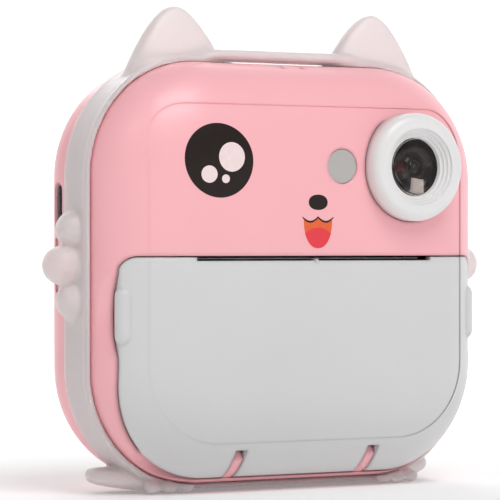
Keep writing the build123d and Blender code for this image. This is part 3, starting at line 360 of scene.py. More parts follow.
# ---------------------------------------------------------------- silicone sleeve
def sleeve_loop(per_corner, per_side):
    """Points and outward directions round the body's outline: four arcs and the sides between."""
    points, normals = [], []
    reach = np.array([HALF_W - CORNER_R, HALF_H - CORNER_R])
    corners = np.array([(1, 1), (-1, 1), (-1, -1), (1, -1)])
    for k, (here, after) in enumerate(zip(corners, np.roll(corners, -1, axis=0))):
        angle = np.linspace(k * np.pi / 2, (k + 1) * np.pi / 2, per_corner)
        ring = np.stack([np.cos(angle), np.sin(angle)], axis=1)
        points.append(here * reach + CORNER_R * ring)
        normals.append(ring)
        along = np.linspace(0, 1, per_side + 2)[1:-1, None]
        start = points[-1][-1]
        end = after * reach + CORNER_R * ring[-1]
        points.append(start + (end - start) * along)
        normals.append(np.repeat(ring[-1:], per_side, axis=0))
    return np.concatenate(points) + [0, MID_Z], np.concatenate(normals)


BAND_FRONT = FACE_Y + 13.2
BAND_BACK = FACE_Y + 23.8
BAND_GAP = 0.25             # the band's inside to the shell
BAND_RIM_R = 0.7            # how far in from a rim the rounding runs
BAND_RIM_LIFT = 0.45        # and how far it lifts the inside there
RIM_BEAD = (0.9, 0.7)       # distance from the rim and width of the bead along each rim
FRONT_BEAD, BACK_BEAD = 0.32, 0.25
RIB = (3.4, 0.35, 0.12)     # distance from the front rim, width and height of the rib
BRIDGE_LIFT = 0.55          # the band stands off the shell between the ears
BRIDGE_EXTRA = 1.0          # and is thicker there
BRIDGE_ENDS = (17.5, 21.0)  # between these distances from the middle the bridge ends


def bump_at(distance, place, width):
    """A Gaussian bump about a place."""
    return np.exp(-(((distance - place) / width) ** 2))


def band_surface(thickness):
    """A closed profile carried round the outline: flat inside, rims swollen to a bead outside.

    Outside, the wall's height over the depth is the thickness plus a Gaussian bead at each rim;
    both rims are rounded by a half-circle ease. Between the ears the whole profile is lifted.
    """
    points, normals = sleeve_loop(26, 40)
    y0, y1 = BAND_FRONT, BAND_BACK
    depth = 0.5 - 0.5 * np.cos(np.pi * np.linspace(0, 1, 34))
    y = y0 + (y1 - y0) * depth
    bead = FRONT_BEAD * bump_at(y - y0, *RIM_BEAD) + BACK_BEAD * bump_at(y1 - y, *RIM_BEAD)
    bead = bead + RIB[2] * bump_at(y - y0, *RIB[:2])
    edge = np.minimum(y - y0, y1 - y)
    rounding = np.sqrt(1 - (1 - np.clip(edge / BAND_RIM_R, 0, 1)) ** 2)
    inner = BAND_GAP + BAND_RIM_LIFT * (1 - rounding)
    outer = inner + (thickness + bead) * rounding
    profile_n = np.concatenate([outer, inner[::-1][1:-1]])
    profile_y = np.concatenate([y, y[::-1][1:-1]])
    top = smooth_step(0.5, 0.9, normals[:, 1])
    lift = BRIDGE_LIFT * top * (1 - smooth_step(*BRIDGE_ENDS, np.abs(points[:, 0])))
    swell = np.where(np.arange(len(profile_n)) < len(outer), 1.0, 0.0)
    swell = swell[None, :] * (lift / BRIDGE_LIFT * BRIDGE_EXTRA)[:, None]
    reach = profile_n[None, :] + lift[:, None] + swell
    verts = np.empty((len(points), len(profile_n), 3))
    verts[..., 0] = points[:, None, 0] + normals[:, None, 0] * reach
    verts[..., 1] = profile_y[None, :]
    verts[..., 2] = points[:, None, 1] + normals[:, None, 1] * reach
    return verts.reshape(-1, 3), grid_faces(len(points), len(profile_n), True, True)


def capped(verts):
    """A grid of rows that close on themselves, with one face at each end: vertices and faces."""
    rows, columns = verts.shape[:2]
    faces = grid_faces(rows, columns, False, True)
    first = list(range(columns))[::-1]
    last = list(range((rows - 1) * columns, rows * columns))
    return verts.reshape(-1, 3), [list(f) for f in faces] + [first, last]


def ellipsoid(centre, axes, rows, columns):
    """An ellipsoid grid with its poles along X, closed at both ends."""
    polar = np.linspace(0.001, np.pi - 0.001, rows)[:, None]
    turn = full_turn(columns)[None, :]
    verts = np.stack(
        [
            centre[0] + axes[0] * np.cos(polar) * np.ones_like(turn),
            centre[1] + axes[1] * np.sin(polar) * np.cos(turn),
            centre[2] + axes[2] * np.sin(polar) * np.sin(turn),
        ],
        axis=-1,
    )
    return capped(verts)


EAR_HALF = 11.4             # half an ear's width where it meets the body's top
EAR_LEAN = 0.57             # power by which the width grows below the tip
EAR_DEPTH = 4.0             # half its depth there
EAR_TIP_SHARE, EAR_GROWTH = 0.42, 0.58  # shares of that depth at the tip, and gained below it
EAR_TIP_ROUND = 14
EAR_MIDDLE = 25.6
EAR_INWARD = 0.6            # the ear's foot stands this far in from its tip
EAR_BACK = 17.5             # behind the face
EAR_ROOT = 6.0              # how far an ear's form runs on below the body's top
EAR_POWER = 0.8


def ear_surface(side):
    """An ear lofted upwards from superellipse sections.

    Half its width grows as a power of the distance below the tip, a little above a square root,
    so that the tip is round and the sides lean out. Depth grows from the tip to the base.
    """
    fall = (EAR_TIP - TOP_Z + EAR_ROOT) * np.sin(np.linspace(0.02, np.pi / 2, 40)) ** 2
    z = EAR_TIP - fall[::-1]
    t = (EAR_TIP - z) / (EAR_TIP - TOP_Z)
    half_w = EAR_HALF * t ** EAR_LEAN
    half_d = np.minimum(EAR_DEPTH * (EAR_TIP_SHARE + EAR_GROWTH * t), EAR_DEPTH)
    half_d = half_d * np.minimum(1.0, (t * EAR_TIP_ROUND) ** 0.5)
    middle = EAR_MIDDLE - EAR_INWARD * np.clip(t, 0, 1)
    turn = full_turn(40)
    across = signed_power(np.cos(turn), EAR_POWER)
    back = signed_power(np.sin(turn), EAR_POWER)
    verts = np.stack(
        [
            side * (middle[:, None] + half_w[:, None] * across[None, :]),
            FACE_Y + EAR_BACK + half_d[:, None] * back[None, :],
            np.repeat(z[:, None], len(turn), axis=1),
        ],
        axis=-1,
    )
    return capped(verts)


FOOT_X = 34.0
FOOT_HALF = 9.3
FOOT_Y = FACE_Y + 18.0
FOOT_DEPTH = 6.2
FOOT_HEIGHT = 2.15          # half the pad's height
FOOT_POWERS = (0.55, 0.75, 0.6)  # squareness of its side, of its plan and of its top
FOOT_SPLAY = 4.8            # how far back the outer end sits
FOOT_RISE = 1.7             # how far up the outer end eases
SPLAY_FROM, SPLAY_TO = 25.0, 42.0
RISE_FROM, RISE_TO = 27.0, 46.0


def foot_surface(side):
    """A foot: a low superellipsoid pad whose outer end eases backwards and upwards."""
    rows, columns = 22, 44
    polar = np.linspace(0.002, np.pi - 0.002, rows)[:, None]
    turn = full_turn(columns)[None, :]
    edge, plan, top = FOOT_POWERS
    wide = signed_power(np.sin(polar), edge)
    x = FOOT_X + FOOT_HALF * wide * signed_power(np.cos(turn), plan)
    y = FOOT_Y + FOOT_DEPTH * wide * signed_power(np.sin(turn), plan)
    y = y + FOOT_SPLAY * smooth_step(SPLAY_FROM, SPLAY_TO, x)
    z = FOOT_HEIGHT + FOOT_HEIGHT * signed_power(np.cos(polar), top) * np.ones_like(turn)
    z = z + FOOT_RISE * smooth_step(RISE_FROM, RISE_TO, x)
    return capped(np.stack([side * x, y, z], axis=-1))


PAW_R = 4.2
PAW_OUT = 8.1               # the middle ball's reach beyond the body's side
PAW_OUTER_SHARE = 0.6       # and what the other two have of it
PAW_STEP = 7.6
PAW_BACK = 19.6             # behind the face
PAW_UP = 1.55               # above the body's middle
PAW_ROOT = (3.4, 4.3, 4.4)  # the form that joins a ball to the band
PAW_ROOT_OUT = 1.01         # its middle, as a share of the body's half width
TOE_X, TOE_STEP = 29.6, 3.9
TOE_FRONT = 5.5             # before the foot's middle
TOE_SPLAY = 0.5
TOE_AXES = (2.1, 1.2, 1.5)


def paw_and_toes(side):
    """Three side paw balls and three toe lobes on the foot's front edge."""
    made = []
    for k, share in ((-1, PAW_OUTER_SHARE), (0, 1.0), (1, PAW_OUTER_SHARE)):
        reach = HALF_W + PAW_OUT * share - PAW_R
        y, z = FACE_Y + PAW_BACK, MID_Z + PAW_UP + PAW_STEP * k
        made.append(ellipsoid((side * reach, y, z), (PAW_R, PAW_R, PAW_R), 16, 24))
        made.append(ellipsoid((side * HALF_W * PAW_ROOT_OUT, y, z), PAW_ROOT, 12, 20))
        toe = (side * (TOE_X + TOE_STEP * k), FOOT_Y - TOE_FRONT + TOE_SPLAY * k, TOE_AXES[2])
        made.append(ellipsoid(toe, TOE_AXES, 14, 24))
    return made


def clear_of_body(points, gap):
    """Points that lie inside the body's outline, moved straight out to the gap beyond it."""
    past_x, past_z = past_corner(points[:, 0], points[:, 2])
    far = np.maximum(np.hypot(past_x, past_z), 1e-6)
    push = np.maximum(CORNER_R + gap - far, 0.0)
    moved = points.copy()
    moved[:, 0] += np.sign(points[:, 0]) * past_x / far * push
    moved[:, 2] += np.sign(points[:, 2] - MID_Z) * past_z / far * push
    return moved


SLEEVE_CLEAR = 0.22         # smoothing may not bring the sleeve nearer to the body


class CAMERALOOK_OT_sleeve(bpy.types.Operator):
    """Model the silicone sleeve with its ears, paws and feet as one soft form"""

    bl_idname = "camera_look.sleeve"
    bl_label = "Silicone sleeve"

    def execute(self, context):
        look = settings()
        forms = [band_surface(look.sleeve_thickness / MM)]
        for side in (-1, 1):
            forms += [ear_surface(side), foot_surface(side)] + paw_and_toes(side)
        verts, faces, start = [], [], 0
        for points, quads in forms:
            verts.append(points)
            faces += [[int(i) + start for i in f] for f in quads]
            start += len(points)
        sleeve = recalculated(add_mesh("sleeve_soft", np.concatenate(verts), faces))
        join = sleeve.modifiers.new("join", "REMESH")
        join.mode = "VOXEL"
        join.voxel_size = look.sleeve_voxel
        soften = sleeve.modifiers.new("soften", "SMOOTH")
        soften.factor = 0.5
        soften.iterations = 8
        baked(sleeve)
        place = np.empty(len(sleeve.data.vertices) * 3)
        sleeve.data.vertices.foreach_get("co", place)
        place = clear_of_body(place.reshape(-1, 3) / MM, SLEEVE_CLEAR) * MM
        place[:, 2] = np.maximum(place[:, 2], 0.0)
        sleeve.data.vertices.foreach_set("co", place.ravel())
        sleeve.data.polygons.foreach_set("use_smooth", [True] * len(sleeve.data.polygons))
        sleeve.data.materials.clear()
        sleeve.data.materials.append(silicone("frosted_silicone", look.sleeve_colour))
        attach(sleeve, "root")
        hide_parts("silicone_sleeve")
        return {"FINISHED"}


# ---------------------------------------------------------------- printed face
def film(name, outline_points, lift, thickness, rings=14):
    """A thin closed film that lies on the front surface inside an outline.

    The outline's points are scaled towards their middle in rings; the upper skin stands lift above
    the surface and the lower skin thickness below the upper one, joined round the edge.
    """
    outline_points = np.asarray(outline_points, dtype=float)
    middle = outline_points.mean(axis=0)
    scale = np.sin(np.linspace(0, np.pi / 2, rings))[:, None, None]
    scale[0] = 0.02
    flat = middle + (outline_points - middle)[None, :, :] * scale
    x, z = flat[..., 0], flat[..., 1]
    y = face_y(x, z) - lift
    edge = 1 - np.clip((scale[..., 0] - 0.9) / 0.1, 0, 1) ** 3 * 0.5
    top = np.stack([x, y + thickness * (1 - edge), z], axis=-1)
    low = np.stack([x, y + thickness * np.ones_like(edge), z], axis=-1)[::-1]
    return recalculated(add_mesh(name, *capped(np.concatenate([top, low]))))


def oval(centre, width, height, lean=0.0, power=1.0, count=72):
    """Outline of a superellipse about a centre, leaning by an angle in degrees."""
    turn = full_turn(count)
    x = width / 2 * signed_power(np.cos(turn), power)
    z = height / 2 * signed_power(np.sin(turn), power)
    cos, sin = math.cos(math.radians(lean)), math.sin(math.radians(lean))
    return np.stack([x * cos - z * sin, x * sin + z * cos], axis=1) + np.asarray(centre)


def strip(name, stroke, lift, thickness):
    """A thin closed ribbon: its outline runs along its lower edge and back along its upper one."""
    half = len(stroke) // 2
    low, high = stroke[:half], stroke[half:][::-1]
    rows = []
    for edge, drop in ((low, 0.0), (high, 0.0), (high, thickness), (low, thickness)):
        x, z = edge[:, 0], edge[:, 1]
        rows.append(np.stack([x, face_y(x, z) - lift + drop, z], axis=1))
    return recalculated(add_mesh(name, *capped(np.stack(rows, axis=1))))


INK_T = 0.03
INK_LIFT, OVER_LIFT, LINE_LIFT = 0.04, 0.06, 0.07  # first coat, second coat and the mouth's line

EYE_IN, EYE_DOWN = 23.55, 21.5  # in from the body's side and down from its top
EYE_LEAN = -8.0
GLINTS = (                  # place from the eye's middle, and size
    ((2.95, 0.74), (6.4, 6.25)),
    ((-2.6, -2.96), (3.95, 3.65)),
    ((1.44, -3.9), (1.95, 1.85)),
)
NOSE_X, NOSE_UP = 0.35, 11.5  # up from the door's seam
NOSE_SIZE = (4.85, 3.3)
NOSE_POWER = 0.92

MOUTH_X, MOUTH_UP = 0.3, 8.3  # the peak of its line, up from the door's seam
ARC_HALF = 2.0              # half the width of each of the line's two arcs
ARC_POWER = 0.9
LINE_HALF, LINE_END = 4.0, 4.1  # half the line's length, and where its taper would end
LINE_T, LINE_TIP = 0.185, 0.02  # half its height at the middle and at the tips
MOUTH_DEEP = 6.7
MOUTH_SHOULDER = 0.6        # the open mouth widens down to here
MOUTH_POWER = 2.2
TONGUE_SHARE = 0.93         # of the mouth's half width
TONGUE_DOWN, TONGUE_ARCH = 2.25, 1.5


def mouth_line(x):
    """Height of the mouth's line: two arcs that sag 1 mm and meet in a peak at the middle."""
    u = np.clip(np.abs(x - MOUTH_X) / ARC_HALF, 0, 2)
    return SEAM_Z + MOUTH_UP - np.sin(u * np.pi / 2) ** ARC_POWER


class CAMERALOOK_OT_face(bpy.types.Operator):
    """Print the cartoon cat's eye, nose and open mouth on the front"""

    bl_idname = "camera_look.face"
    bl_label = "Printed face"

    def execute(self, context):
        look = settings()
        dark = ink("ink_dark", look.ink_colour)
        shine = ink("ink_shine", (0.91, 0.74, 0.74))
        orange = ink("ink_mouth", look.mouth_colour)
        red = ink("ink_tongue", look.tongue_colour)
        eye_x, eye_z = -(HALF_W - EYE_IN), TOP_Z - EYE_DOWN
        eye = oval((eye_x, eye_z), look.eye_width / MM, look.eye_height / MM, EYE_LEAN)
        pieces = [("print_eye", eye, INK_LIFT, dark)]
        for k, (place, size) in enumerate(GLINTS):
            spot = oval((eye_x + place[0], eye_z + place[1]), *size)
            pieces.append((f"print_glint_{k + 1}", spot, OVER_LIFT, shine))
        nose = oval((NOSE_X, SEAM_Z + NOSE_UP), *NOSE_SIZE, 0.0, NOSE_POWER)
        pieces.append(("print_nose", nose, INK_LIFT, dark))

        peak = SEAM_Z + MOUTH_UP
        half = look.mouth_width / MM / 2
        belly = MOUTH_DEEP - MOUTH_SHOULDER
        turn = np.linspace(0, np.pi, 40)
        low_x = half * np.cos(turn)
        low_z = -MOUTH_SHOULDER - belly * np.abs(np.sin(turn)) ** (2 / MOUTH_POWER)
        top_x = np.linspace(-half, half, 34)[1:-1] + MOUTH_X
        below = np.stack([low_x + MOUTH_X, low_z + peak], axis=1)
        above = np.stack([top_x, mouth_line(top_x) + 0.1], axis=1)
        pieces.append(("print_mouth", np.concatenate([below, above]), INK_LIFT, orange))

        low = np.linspace(-TONGUE_SHARE, TONGUE_SHARE, 40)
        bowed = np.abs(low) ** MOUTH_POWER
        floor_z = peak - MOUTH_SHOULDER - belly * (1 - bowed) ** (1 / MOUTH_POWER) + 0.02
        arc_z = peak - TONGUE_DOWN - TONGUE_ARCH * bowed
        tongue_x = MOUTH_X + half * low
        tongue = outline((tongue_x, np.minimum(floor_z, arc_z)), (tongue_x, arc_z))
        pieces.append(("print_tongue", tongue, OVER_LIFT, red))
        for name, points, lift, material in pieces:
            piece = film(name, points, lift, INK_T)
            piece.data.materials.append(material)
            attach(piece, "root")

        span = np.linspace(-LINE_HALF, LINE_HALF, 61)
        line_x = span + MOUTH_X
        line_z = mouth_line(line_x)
        thin = LINE_T * np.sqrt(np.clip(1 - (span / LINE_END) ** 8, 0, 1)) + LINE_TIP
        stroke = outline((line_x, line_z - thin), (line_x, line_z + thin))
        line = strip("print_mouth_line", stroke, LINE_LIFT, INK_T)
        line.data.materials.append(dark)
        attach(line, "root")
        return {"FINISHED"}


# ---------------------------------------------------------------- lens assembly
RING_X = (RING_LOW[0] + RING_HIGH[0]) / 2
RING_Z = (RING_LOW[2] + RING_HIGH[2]) / 2
RING_R = (RING_HIGH[0] - RING_LOW[0]) / 2
RING_EDGE = (2.2, 2.3)      # its rounded edge, along the radius and along the axis
RING_DISH = 0.12            # the face drops this far to the first step
RING_LIP = 0.4              # the bore holds the window by this much
RING_SEAT = 0.1             # clearance round the window
STEP_R = 9.0                # outside of the first step
STEP_COUNT, STEP_DROP = 4, 0.62
STEP_RISER = (0.78, 0.97)   # the part of a step's width that its drop takes
WINDOW_R = (WINDOW_HIGH[0] - WINDOW_LOW[0]) / 2
WINDOW_EDGE = (0.35, 0.2)
WINDOW_BULGE = 0.14
WINDOW_HUB = 0.02           # the lathed window closes on this radius
BAFFLE_HUB = 0.05
BAFFLE_RIM = (0.5, 0.35)    # inside and outside of its rim, in from the window's radius
BAFFLE_DROP = (0.7, 0.9, 1.4)  # rim, disc front and disc back, behind the barrel's front


def lathe(name, radius, depth, columns=160):
    """A closed profile, given as radius and depth arrays, turned about the lens ring's axis."""
    turn = full_turn(columns)[None, :]
    radius, depth = np.asarray(radius)[:, None], np.asarray(depth)[:, None]
    verts = np.stack(
        [RING_X + radius * np.cos(turn), depth + 0 * turn, RING_Z + radius * np.sin(turn)],
        axis=-1,
    ).reshape(-1, 3)
    return recalculated(add_mesh(name, verts, grid_faces(len(radius), columns, True, True)))


def ring_profile():
    """Section of the lens ring: a quarter ellipse round its edge, a faintly dished face, then
    four soft steps, each a cubic ease down, to the bore, and the rebate that holds the window.
    """
    front, back = RING_LOW[1], RING_HIGH[1]
    bore = WINDOW_R - RING_LIP
    seat = WINDOW_R + RING_SEAT
    turn = np.linspace(0, np.pi / 2, 22)
    edge_r = RING_R - RING_EDGE[0] + RING_EDGE[0] * np.cos(turn)
    edge_y = front + RING_EDGE[1] - RING_EDGE[1] * np.sin(turn)
    s = np.linspace(0, STEP_COUNT, 22 * STEP_COUNT + 1)[1:-1]
    step_r = STEP_R - s * (STEP_R - bore) / STEP_COUNT
    step_y = front + RING_DISH + STEP_DROP * (np.floor(s) + smooth_step(*STEP_RISER, s % 1))
    bore_y = front + RING_DISH + STEP_DROP * STEP_COUNT
    window_y = WINDOW_LOW[1] - 0.02
    radius = np.concatenate([[RING_R], edge_r, step_r, [bore, bore, seat, seat]])
    depth = np.concatenate([[back], edge_y, step_y, [bore_y, window_y, window_y, back]])
    return radius, depth


def baffle_profile():
    """Section of the baffle: a flat disc behind the window with a rim that reaches up to it."""
    front = node_box("lens_barrel")[0][1]
    rim, disc, back = (front + drop for drop in BAFFLE_DROP)
    window = WINDOW_HIGH[1] + 0.05
    inside, outside = (WINDOW_R - step for step in BAFFLE_RIM)
    return np.transpose([
        (BAFFLE_HUB, disc), (inside, disc), (outside, rim), (outside, window),
        (WINDOW_R, window), (WINDOW_R, back), (BAFFLE_HUB, back),
    ])


def window_profile():
    """Section of the window: a quarter ellipse at its edge, and a front that bulges as a
    parabola over the radius.
    """
    edge_r, edge_y = WINDOW_EDGE
    back = WINDOW_HIGH[1]
    turn = np.linspace(0, np.pi / 2, 14)
    front_r = (WINDOW_R - edge_r) + edge_r * np.cos(turn)
    front_y = WINDOW_LOW[1] + edge_y - edge_y * np.sin(turn)
    across = np.linspace(WINDOW_R - edge_r, WINDOW_HUB, 22)[1:]
    bulge = WINDOW_BULGE * (1 - (across / WINDOW_R) ** 2)
    radius = np.concatenate([[WINDOW_R], front_r, across, [WINDOW_HUB]])
    depth = np.concatenate([[back], front_y, WINDOW_LOW[1] - bulge, [back]])
    return radius, depth


class CAMERALOOK_OT_lens(bpy.types.Operator):
    """Turn the stepped lens ring, its dark baffle and the smoked window"""

    bl_idname = "camera_look.lens"
    bl_label = "Lens ring and window"

    def execute(self, context):
        look = settings()
        ring = lathe("lens_ring_turned", *ring_profile())
        ring.data.materials.append(plastic("ring_white", look.ring_colour, 0.34, Coat_Weight=0.12))
        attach(ring, "root")
        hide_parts("lens_ring")

        shade = lathe("lens_baffle", *baffle_profile(), 96)
        shade.data.materials.append(plastic("baffle_black", (0.014, 0.011, 0.010), 0.4))
        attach(shade, "root")

        window = lathe("lens_window_domed", *window_profile(), 120)
        window.data.materials.append(clear("smoked_acrylic", (0.62, 0.55, 0.52), 0.03))
        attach(window, "root")
        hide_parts("lens_window")
        return {"FINISHED"}


# ---------------------------------------------------------------- finishes of the CAD parts
PARTS = {
    "shell": ("front_shell", "rear_shell"),
    "door": ("printer_door",),
    "mirror": ("selfie_mirror",),
    "glass": ("screen_cover",),
    "screen": ("lcd_module",),
    "button": (
        "shutter_button", "print_button", "power_button", "ok_button",
        "up_button", "down_button", "left_button", "right_button",
    ),
    "board": ("main_board", "button_board", "camera_board"),
    "plated": (
        "case_screws", "button_board_screws", "main_board_screws", "usb_inlet", "card_socket",
        "tear_bar", "head_spring", "motor_shaft", "platen_shaft", "idler_pin", "door_hinge_pins",
    ),
    "motor": ("stepper_motor",),
    "foil": ("battery",),
    "black": ("tact_switches", "speaker", "microphone", "memory_card"),
    "barrel": ("lens_barrel",),
    "coated_red_glint": ("camera_lens",),
    "flash": ("flash_led", "flash_light_pipe"),
    "gear": ("platen_gear", "idler_gear"),
    "brass": ("motor_pinion",),
    "bushing": ("platen_bushings",),
    "rubber": ("platen_rubber",),
    "frame": ("printer_frame",),
    "head": ("thermal_print_head",),
    "paper": ("paper_roll", "paper_web"),
    "card": ("roll_core",),
}


def paper_layers(name, colour):
    """Thermal paper: wound layers show as fine rings on the ends, fibres as a faint grain."""
    material, shader = principled(name, colour, 0.6)
    tree = material.node_tree
    place = tree.nodes.new("ShaderNodeTexCoord")
    shift = tree.nodes.new("ShaderNodeMapping")
    low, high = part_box("paper_roll")
    middle = [(a + b) / 2 for a, b in zip(low, high)]
    shift.inputs["Location"].default_value = (0, -middle[1], -middle[2])
    rings = tree.nodes.new("ShaderNodeTexWave")
    rings.wave_type = "RINGS"
    rings.rings_direction = "X"
    rings.inputs["Scale"].default_value = 900
    rings.inputs["Distortion"].default_value = 0.6
    bump = tree.nodes.new("ShaderNodeBump")
    bump.inputs["Strength"].default_value = 0.25
    bump.inputs["Distance"].default_value = 0.00005
    tree.links.new(place.outputs["Object"], shift.inputs["Vector"])
    tree.links.new(shift.outputs["Vector"], rings.inputs["Vector"])
    tree.links.new(rings.outputs["Color"], bump.inputs["Height"])
    tree.links.new(bump.outputs["Normal"], shader.inputs["Normal"])
    vary_colour(material, shader, colour, 0.02, 600)
    return material


MOULD_EDGE = 0.0016         # metres; edges of the big shells shade as if rounded by it


def finishes():
    """One material for each finish that PARTS names."""
    look = settings()
    return {
        "shell": plastic("shell_pink", look.shell_colour, 0.34, edge=MOULD_EDGE, Coat_Weight=0.1),
        "door": plastic("door_white", look.door_colour, 0.36, edge=MOULD_EDGE, Coat_Weight=0.08),
        "mirror": satin_mirror(),
        "glass": clear("screen_cover", (0.9, 0.92, 0.95), 0.02),
        "screen": plastic("screen_black", (0.012, 0.013, 0.016), 0.12, 300, 0.01),
        "button": plastic("button_white", (0.82, 0.82, 0.83), 0.32),
        "board": board("board_green", (0.012, 0.12, 0.055)),
        "plated": metal("plated_steel", (0.62, 0.62, 0.63), 0.28, (1, 8, 8)),
        "motor": metal("motor_steel", (0.45, 0.46, 0.48), 0.38, (8, 1, 1)),
        "foil": metal("battery_foil", (0.72, 0.73, 0.75), 0.34),
        "black": plastic("black_plastic", (0.016, 0.015, 0.015), 0.4),
        "barrel": plastic("barrel_black", (0.05, 0.046, 0.044), 0.28),
        "coated_red_glint": lens_with_painted_red_glint(),
        # painted light: the flash LED and light pipe glow though the flash is off, brightening them
        # in the shaded recess
        "flash": plastic("flash_painted_glow", (0.93, 0.91, 0.88), 0.3, Emission_Strength=0.45),
        "gear": plastic("gear_white", (0.72, 0.71, 0.67), 0.42),
        "brass": metal("brass", (0.75, 0.52, 0.22), 0.24),
        "bushing": plastic("bushing_black", (0.03, 0.03, 0.03), 0.45),
        "rubber": plastic("platen_rubber", (0.02, 0.02, 0.021), 0.75, 1400, 0.3),
        "frame": plastic("frame_plastic", (0.05, 0.05, 0.055), 0.5, 1200, 0.2),
        "head": plastic("head_ceramic", (0.05, 0.045, 0.04), 0.25),
        "paper": paper_layers("thermal_paper", (0.88, 0.89, 0.90)),
        "card": paper_layers("core_card", (0.45, 0.34, 0.22)),
    }


def satin_mirror():
    """A plated acrylic disc: half mirror, half pale grey, with faint wiping lines."""
    material, shader = principled("satin_mirror", (0.72, 0.70, 0.67), 0.14, Metallic=0.55)
    vary_roughness(material, shader, 0.1, 0.2, 500)
    grain(material, shader, 900, 0.05, 0.00002, (1, 1, 6))
    return material


def lens_with_painted_red_glint():
    """A small lens with a red anti-reflection coating that tints its gloss, and a dark red base
    colour that is a painted red glint.
    """
    material, shader = principled(
        # painted reflection: the dark red base colour stands in for the coating's red glint; the
        # coat and specular tints are real
        "lens_with_painted_red_glint", (0.22, 0.012, 0.012), 0.06, Coat_Weight=1.0, Coat_Roughness=0.03
    )
    shader.inputs["Coat Tint"].default_value = (1.0, 0.35, 0.25, 1.0)
    shader.inputs["Specular Tint"].default_value = (1.0, 0.25, 0.2, 1.0)
    vary_roughness(material, shader, 0.04, 0.09, 500)
    return material


class CAMERALOOK_OT_finish_parts(bpy.types.Operator):
    """Give every CAD part its finish"""

    bl_idname = "camera_look.finish_parts"
    bl_label = "Finishes of the parts"

    def execute(self, context):
        made = finishes()
        for key, names in PARTS.items():
            for name in names:
                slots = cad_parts[name].material_slots
                if not slots:
                    raise RuntimeError(f"{name} has no material slot")
                for place in slots:
                    place.link = "OBJECT"
                    place.material = made[key]
        return {"FINISHED"}


# ---------------------------------------------------------------- stage, metres
SHEET_FRONT, SHEET_BEND, SHEET_BACK = -1.6, 1.2, 1.7  # where it starts, bends and stands
SHEET_BEND_R = 0.5
SHEET_TOP = 2.4
SHEET_HALF = 2.2
SHEET_TURN = 32.17          # degrees; it faces the camera
GLOW_FROM, GLOW_TO = 0.06, 0.5  # the sheet's glow grows between these distances
GLOW_LOW, GLOW_HIGH = 0.13, 0.62

AIM = (0.0, 0.0, 0.05)
LIGHTS = (                  # name, place, size, share of the key light's power
    ("key", (-0.02, -0.72, 1.1), 0.7, 1.0),
    ("fill", (-0.8, -0.45, 0.8), 0.22, 0.07),
    ("rim", (0.3, 0.8, 0.7), 0.6, 0.3),
)
CAMERA_PLACE = (-0.36562, -0.57103, 0.05323)
CAMERA_TURN, CAMERA_DROP = 0.5614972, 0.0017294  # radians to the left and down
CAMERA_LENS, CAMERA_SENSOR = 222.14, 36.0


def area_light(name, place, aim, size, power):
    """A soft square light at a place in metres, turned towards a point."""
    light = bpy.data.lights.new(name, "AREA")
    light.shape = "SQUARE"
    light.size = size
    light.energy = power
    obj = bpy.data.objects.new(name, light)
    bpy.context.scene.collection.objects.link(obj)
    obj.location = place
    way = np.asarray(aim) - np.asarray(place)
    flat = math.hypot(way[0], way[1])
    obj.rotation_euler = (math.atan2(flat, -way[2]), 0, math.atan2(-way[0], way[1]))


def backdrop():
    """A sheet that lies flat, then curves up behind: a line, a quarter circle and a line."""
    turn = np.linspace(0, np.pi / 2, 24)
    run = np.concatenate([[SHEET_FRONT], SHEET_BEND + SHEET_BEND_R * np.sin(turn), [SHEET_BACK]])
    rise = np.concatenate([[0.0], SHEET_BEND_R - SHEET_BEND_R * np.cos(turn), [SHEET_TOP]])
    across = np.linspace(-SHEET_HALF, SHEET_HALF, 12)
    cos, sin = math.cos(math.radians(SHEET_TURN)), math.sin(math.radians(SHEET_TURN))
    x, d = np.meshgrid(across, run)
    z = np.repeat(rise[:, None], len(across), axis=1)
    verts = np.stack([x * cos + d * sin, -x * sin + d * cos, z], axis=-1)
    return add_mesh("backdrop", verts.reshape(-1, 3) / MM, grid_faces(len(run), len(across)))


def glow_far_away(material, shader):
    """The paper glows away from the object, so that it ends in white behind a shaded floor."""
    tree = material.node_tree
    place = tree.nodes.new("ShaderNodeTexCoord")
    reach = tree.nodes.new("ShaderNodeVectorMath")
    reach.operation = "LENGTH"
    span = tree.nodes.new("ShaderNodeMapRange")
    span.inputs["From Min"].default_value = GLOW_FROM
    span.inputs["From Max"].default_value = GLOW_TO
    span.inputs["To Min"].default_value = GLOW_LOW
    span.inputs["To Max"].default_value = GLOW_HIGH
    tree.links.new(place.outputs["Object"], reach.inputs[0])
    tree.links.new(reach.outputs["Value"], span.inputs["Value"])
    tree.links.new(span.outputs["Result"], shader.inputs["Emission Strength"])


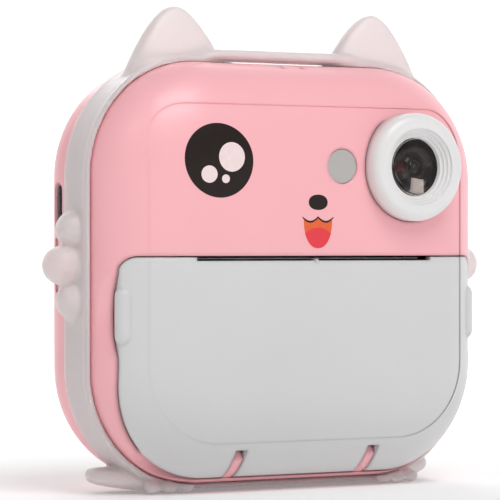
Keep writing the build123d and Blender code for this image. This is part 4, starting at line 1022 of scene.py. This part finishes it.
class CAMERALOOK_OT_stage(bpy.types.Operator):
    """Set the white backdrop, the soft lights and the camera"""

    bl_idname = "camera_look.stage"
    bl_label = "Stage"

    def execute(self, context):
        look = settings()
        sheet = backdrop()
        context.scene.view_settings.view_transform = "Standard"
        paper, shader = principled("backdrop_white", (0.85, 0.85, 0.85), 0.9)
        glow_far_away(paper, shader)
        grain(paper, shader, 60, 0.05, 0.0005)
        sheet.data.materials.append(paper)

        world = context.scene.world or bpy.data.worlds.new("studio")
        context.scene.world = world
        world.use_nodes = True
        surround = world.node_tree.nodes["Background"]
        surround.inputs["Color"].default_value = (1.0, 1.0, 1.0, 1.0)
        surround.inputs["Strength"].default_value = look.world_level

        for name, place, size, share in LIGHTS:
            area_light(name, place, AIM, size, look.key_power * share)

        camera = bpy.data.cameras.new("camera")
        camera.sensor_width = CAMERA_SENSOR
        camera.lens = CAMERA_LENS
        eye = bpy.data.objects.new("camera", camera)
        context.scene.collection.objects.link(eye)
        eye.location = CAMERA_PLACE
        eye.rotation_euler = (math.pi / 2 - CAMERA_DROP, 0.0, -CAMERA_TURN)
        context.scene.camera = eye
        return {"FINISHED"}


# ---------------------------------------------------------------- panel and registration
STEPS = (
    CAMERALOOK_OT_sleeve,
    CAMERALOOK_OT_face,
    CAMERALOOK_OT_lens,
    CAMERALOOK_OT_finish_parts,
    CAMERALOOK_OT_stage,
)


class CAMERALOOK_PT_panel(bpy.types.Panel):
    """Settings and steps of the dressed camera"""

    bl_idname = "CAMERALOOK_PT_panel"
    bl_label = "Kids Camera"
    bl_space_type = "VIEW_3D"
    bl_region_type = "UI"
    bl_category = "Kids Camera"

    def draw(self, context):
        look = context.scene.camera_look
        column = self.layout.column(align=True)
        for name in CameraLookSettings.__annotations__:
            column.prop(look, name)
        column.separator()
        for step in STEPS:
            column.operator(step.bl_idname)


CLASSES = (CameraLookSettings, *STEPS, CAMERALOOK_PT_panel)


def register():
    """Add the classes and the scene's settings."""
    for item in CLASSES:
        bpy.utils.register_class(item)
    bpy.types.Scene.camera_look = PointerProperty(type=CameraLookSettings)


def unregister():
    """Take them away again."""
    del bpy.types.Scene.camera_look
    for item in reversed(CLASSES):
        bpy.utils.unregister_class(item)


def main():
    """Dress the frame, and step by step."""
    register()
    for step in STEPS:
        group, name = step.bl_idname.split(".")
        getattr(getattr(bpy.ops, group), name)()


if __name__ == "__main__":
    main()
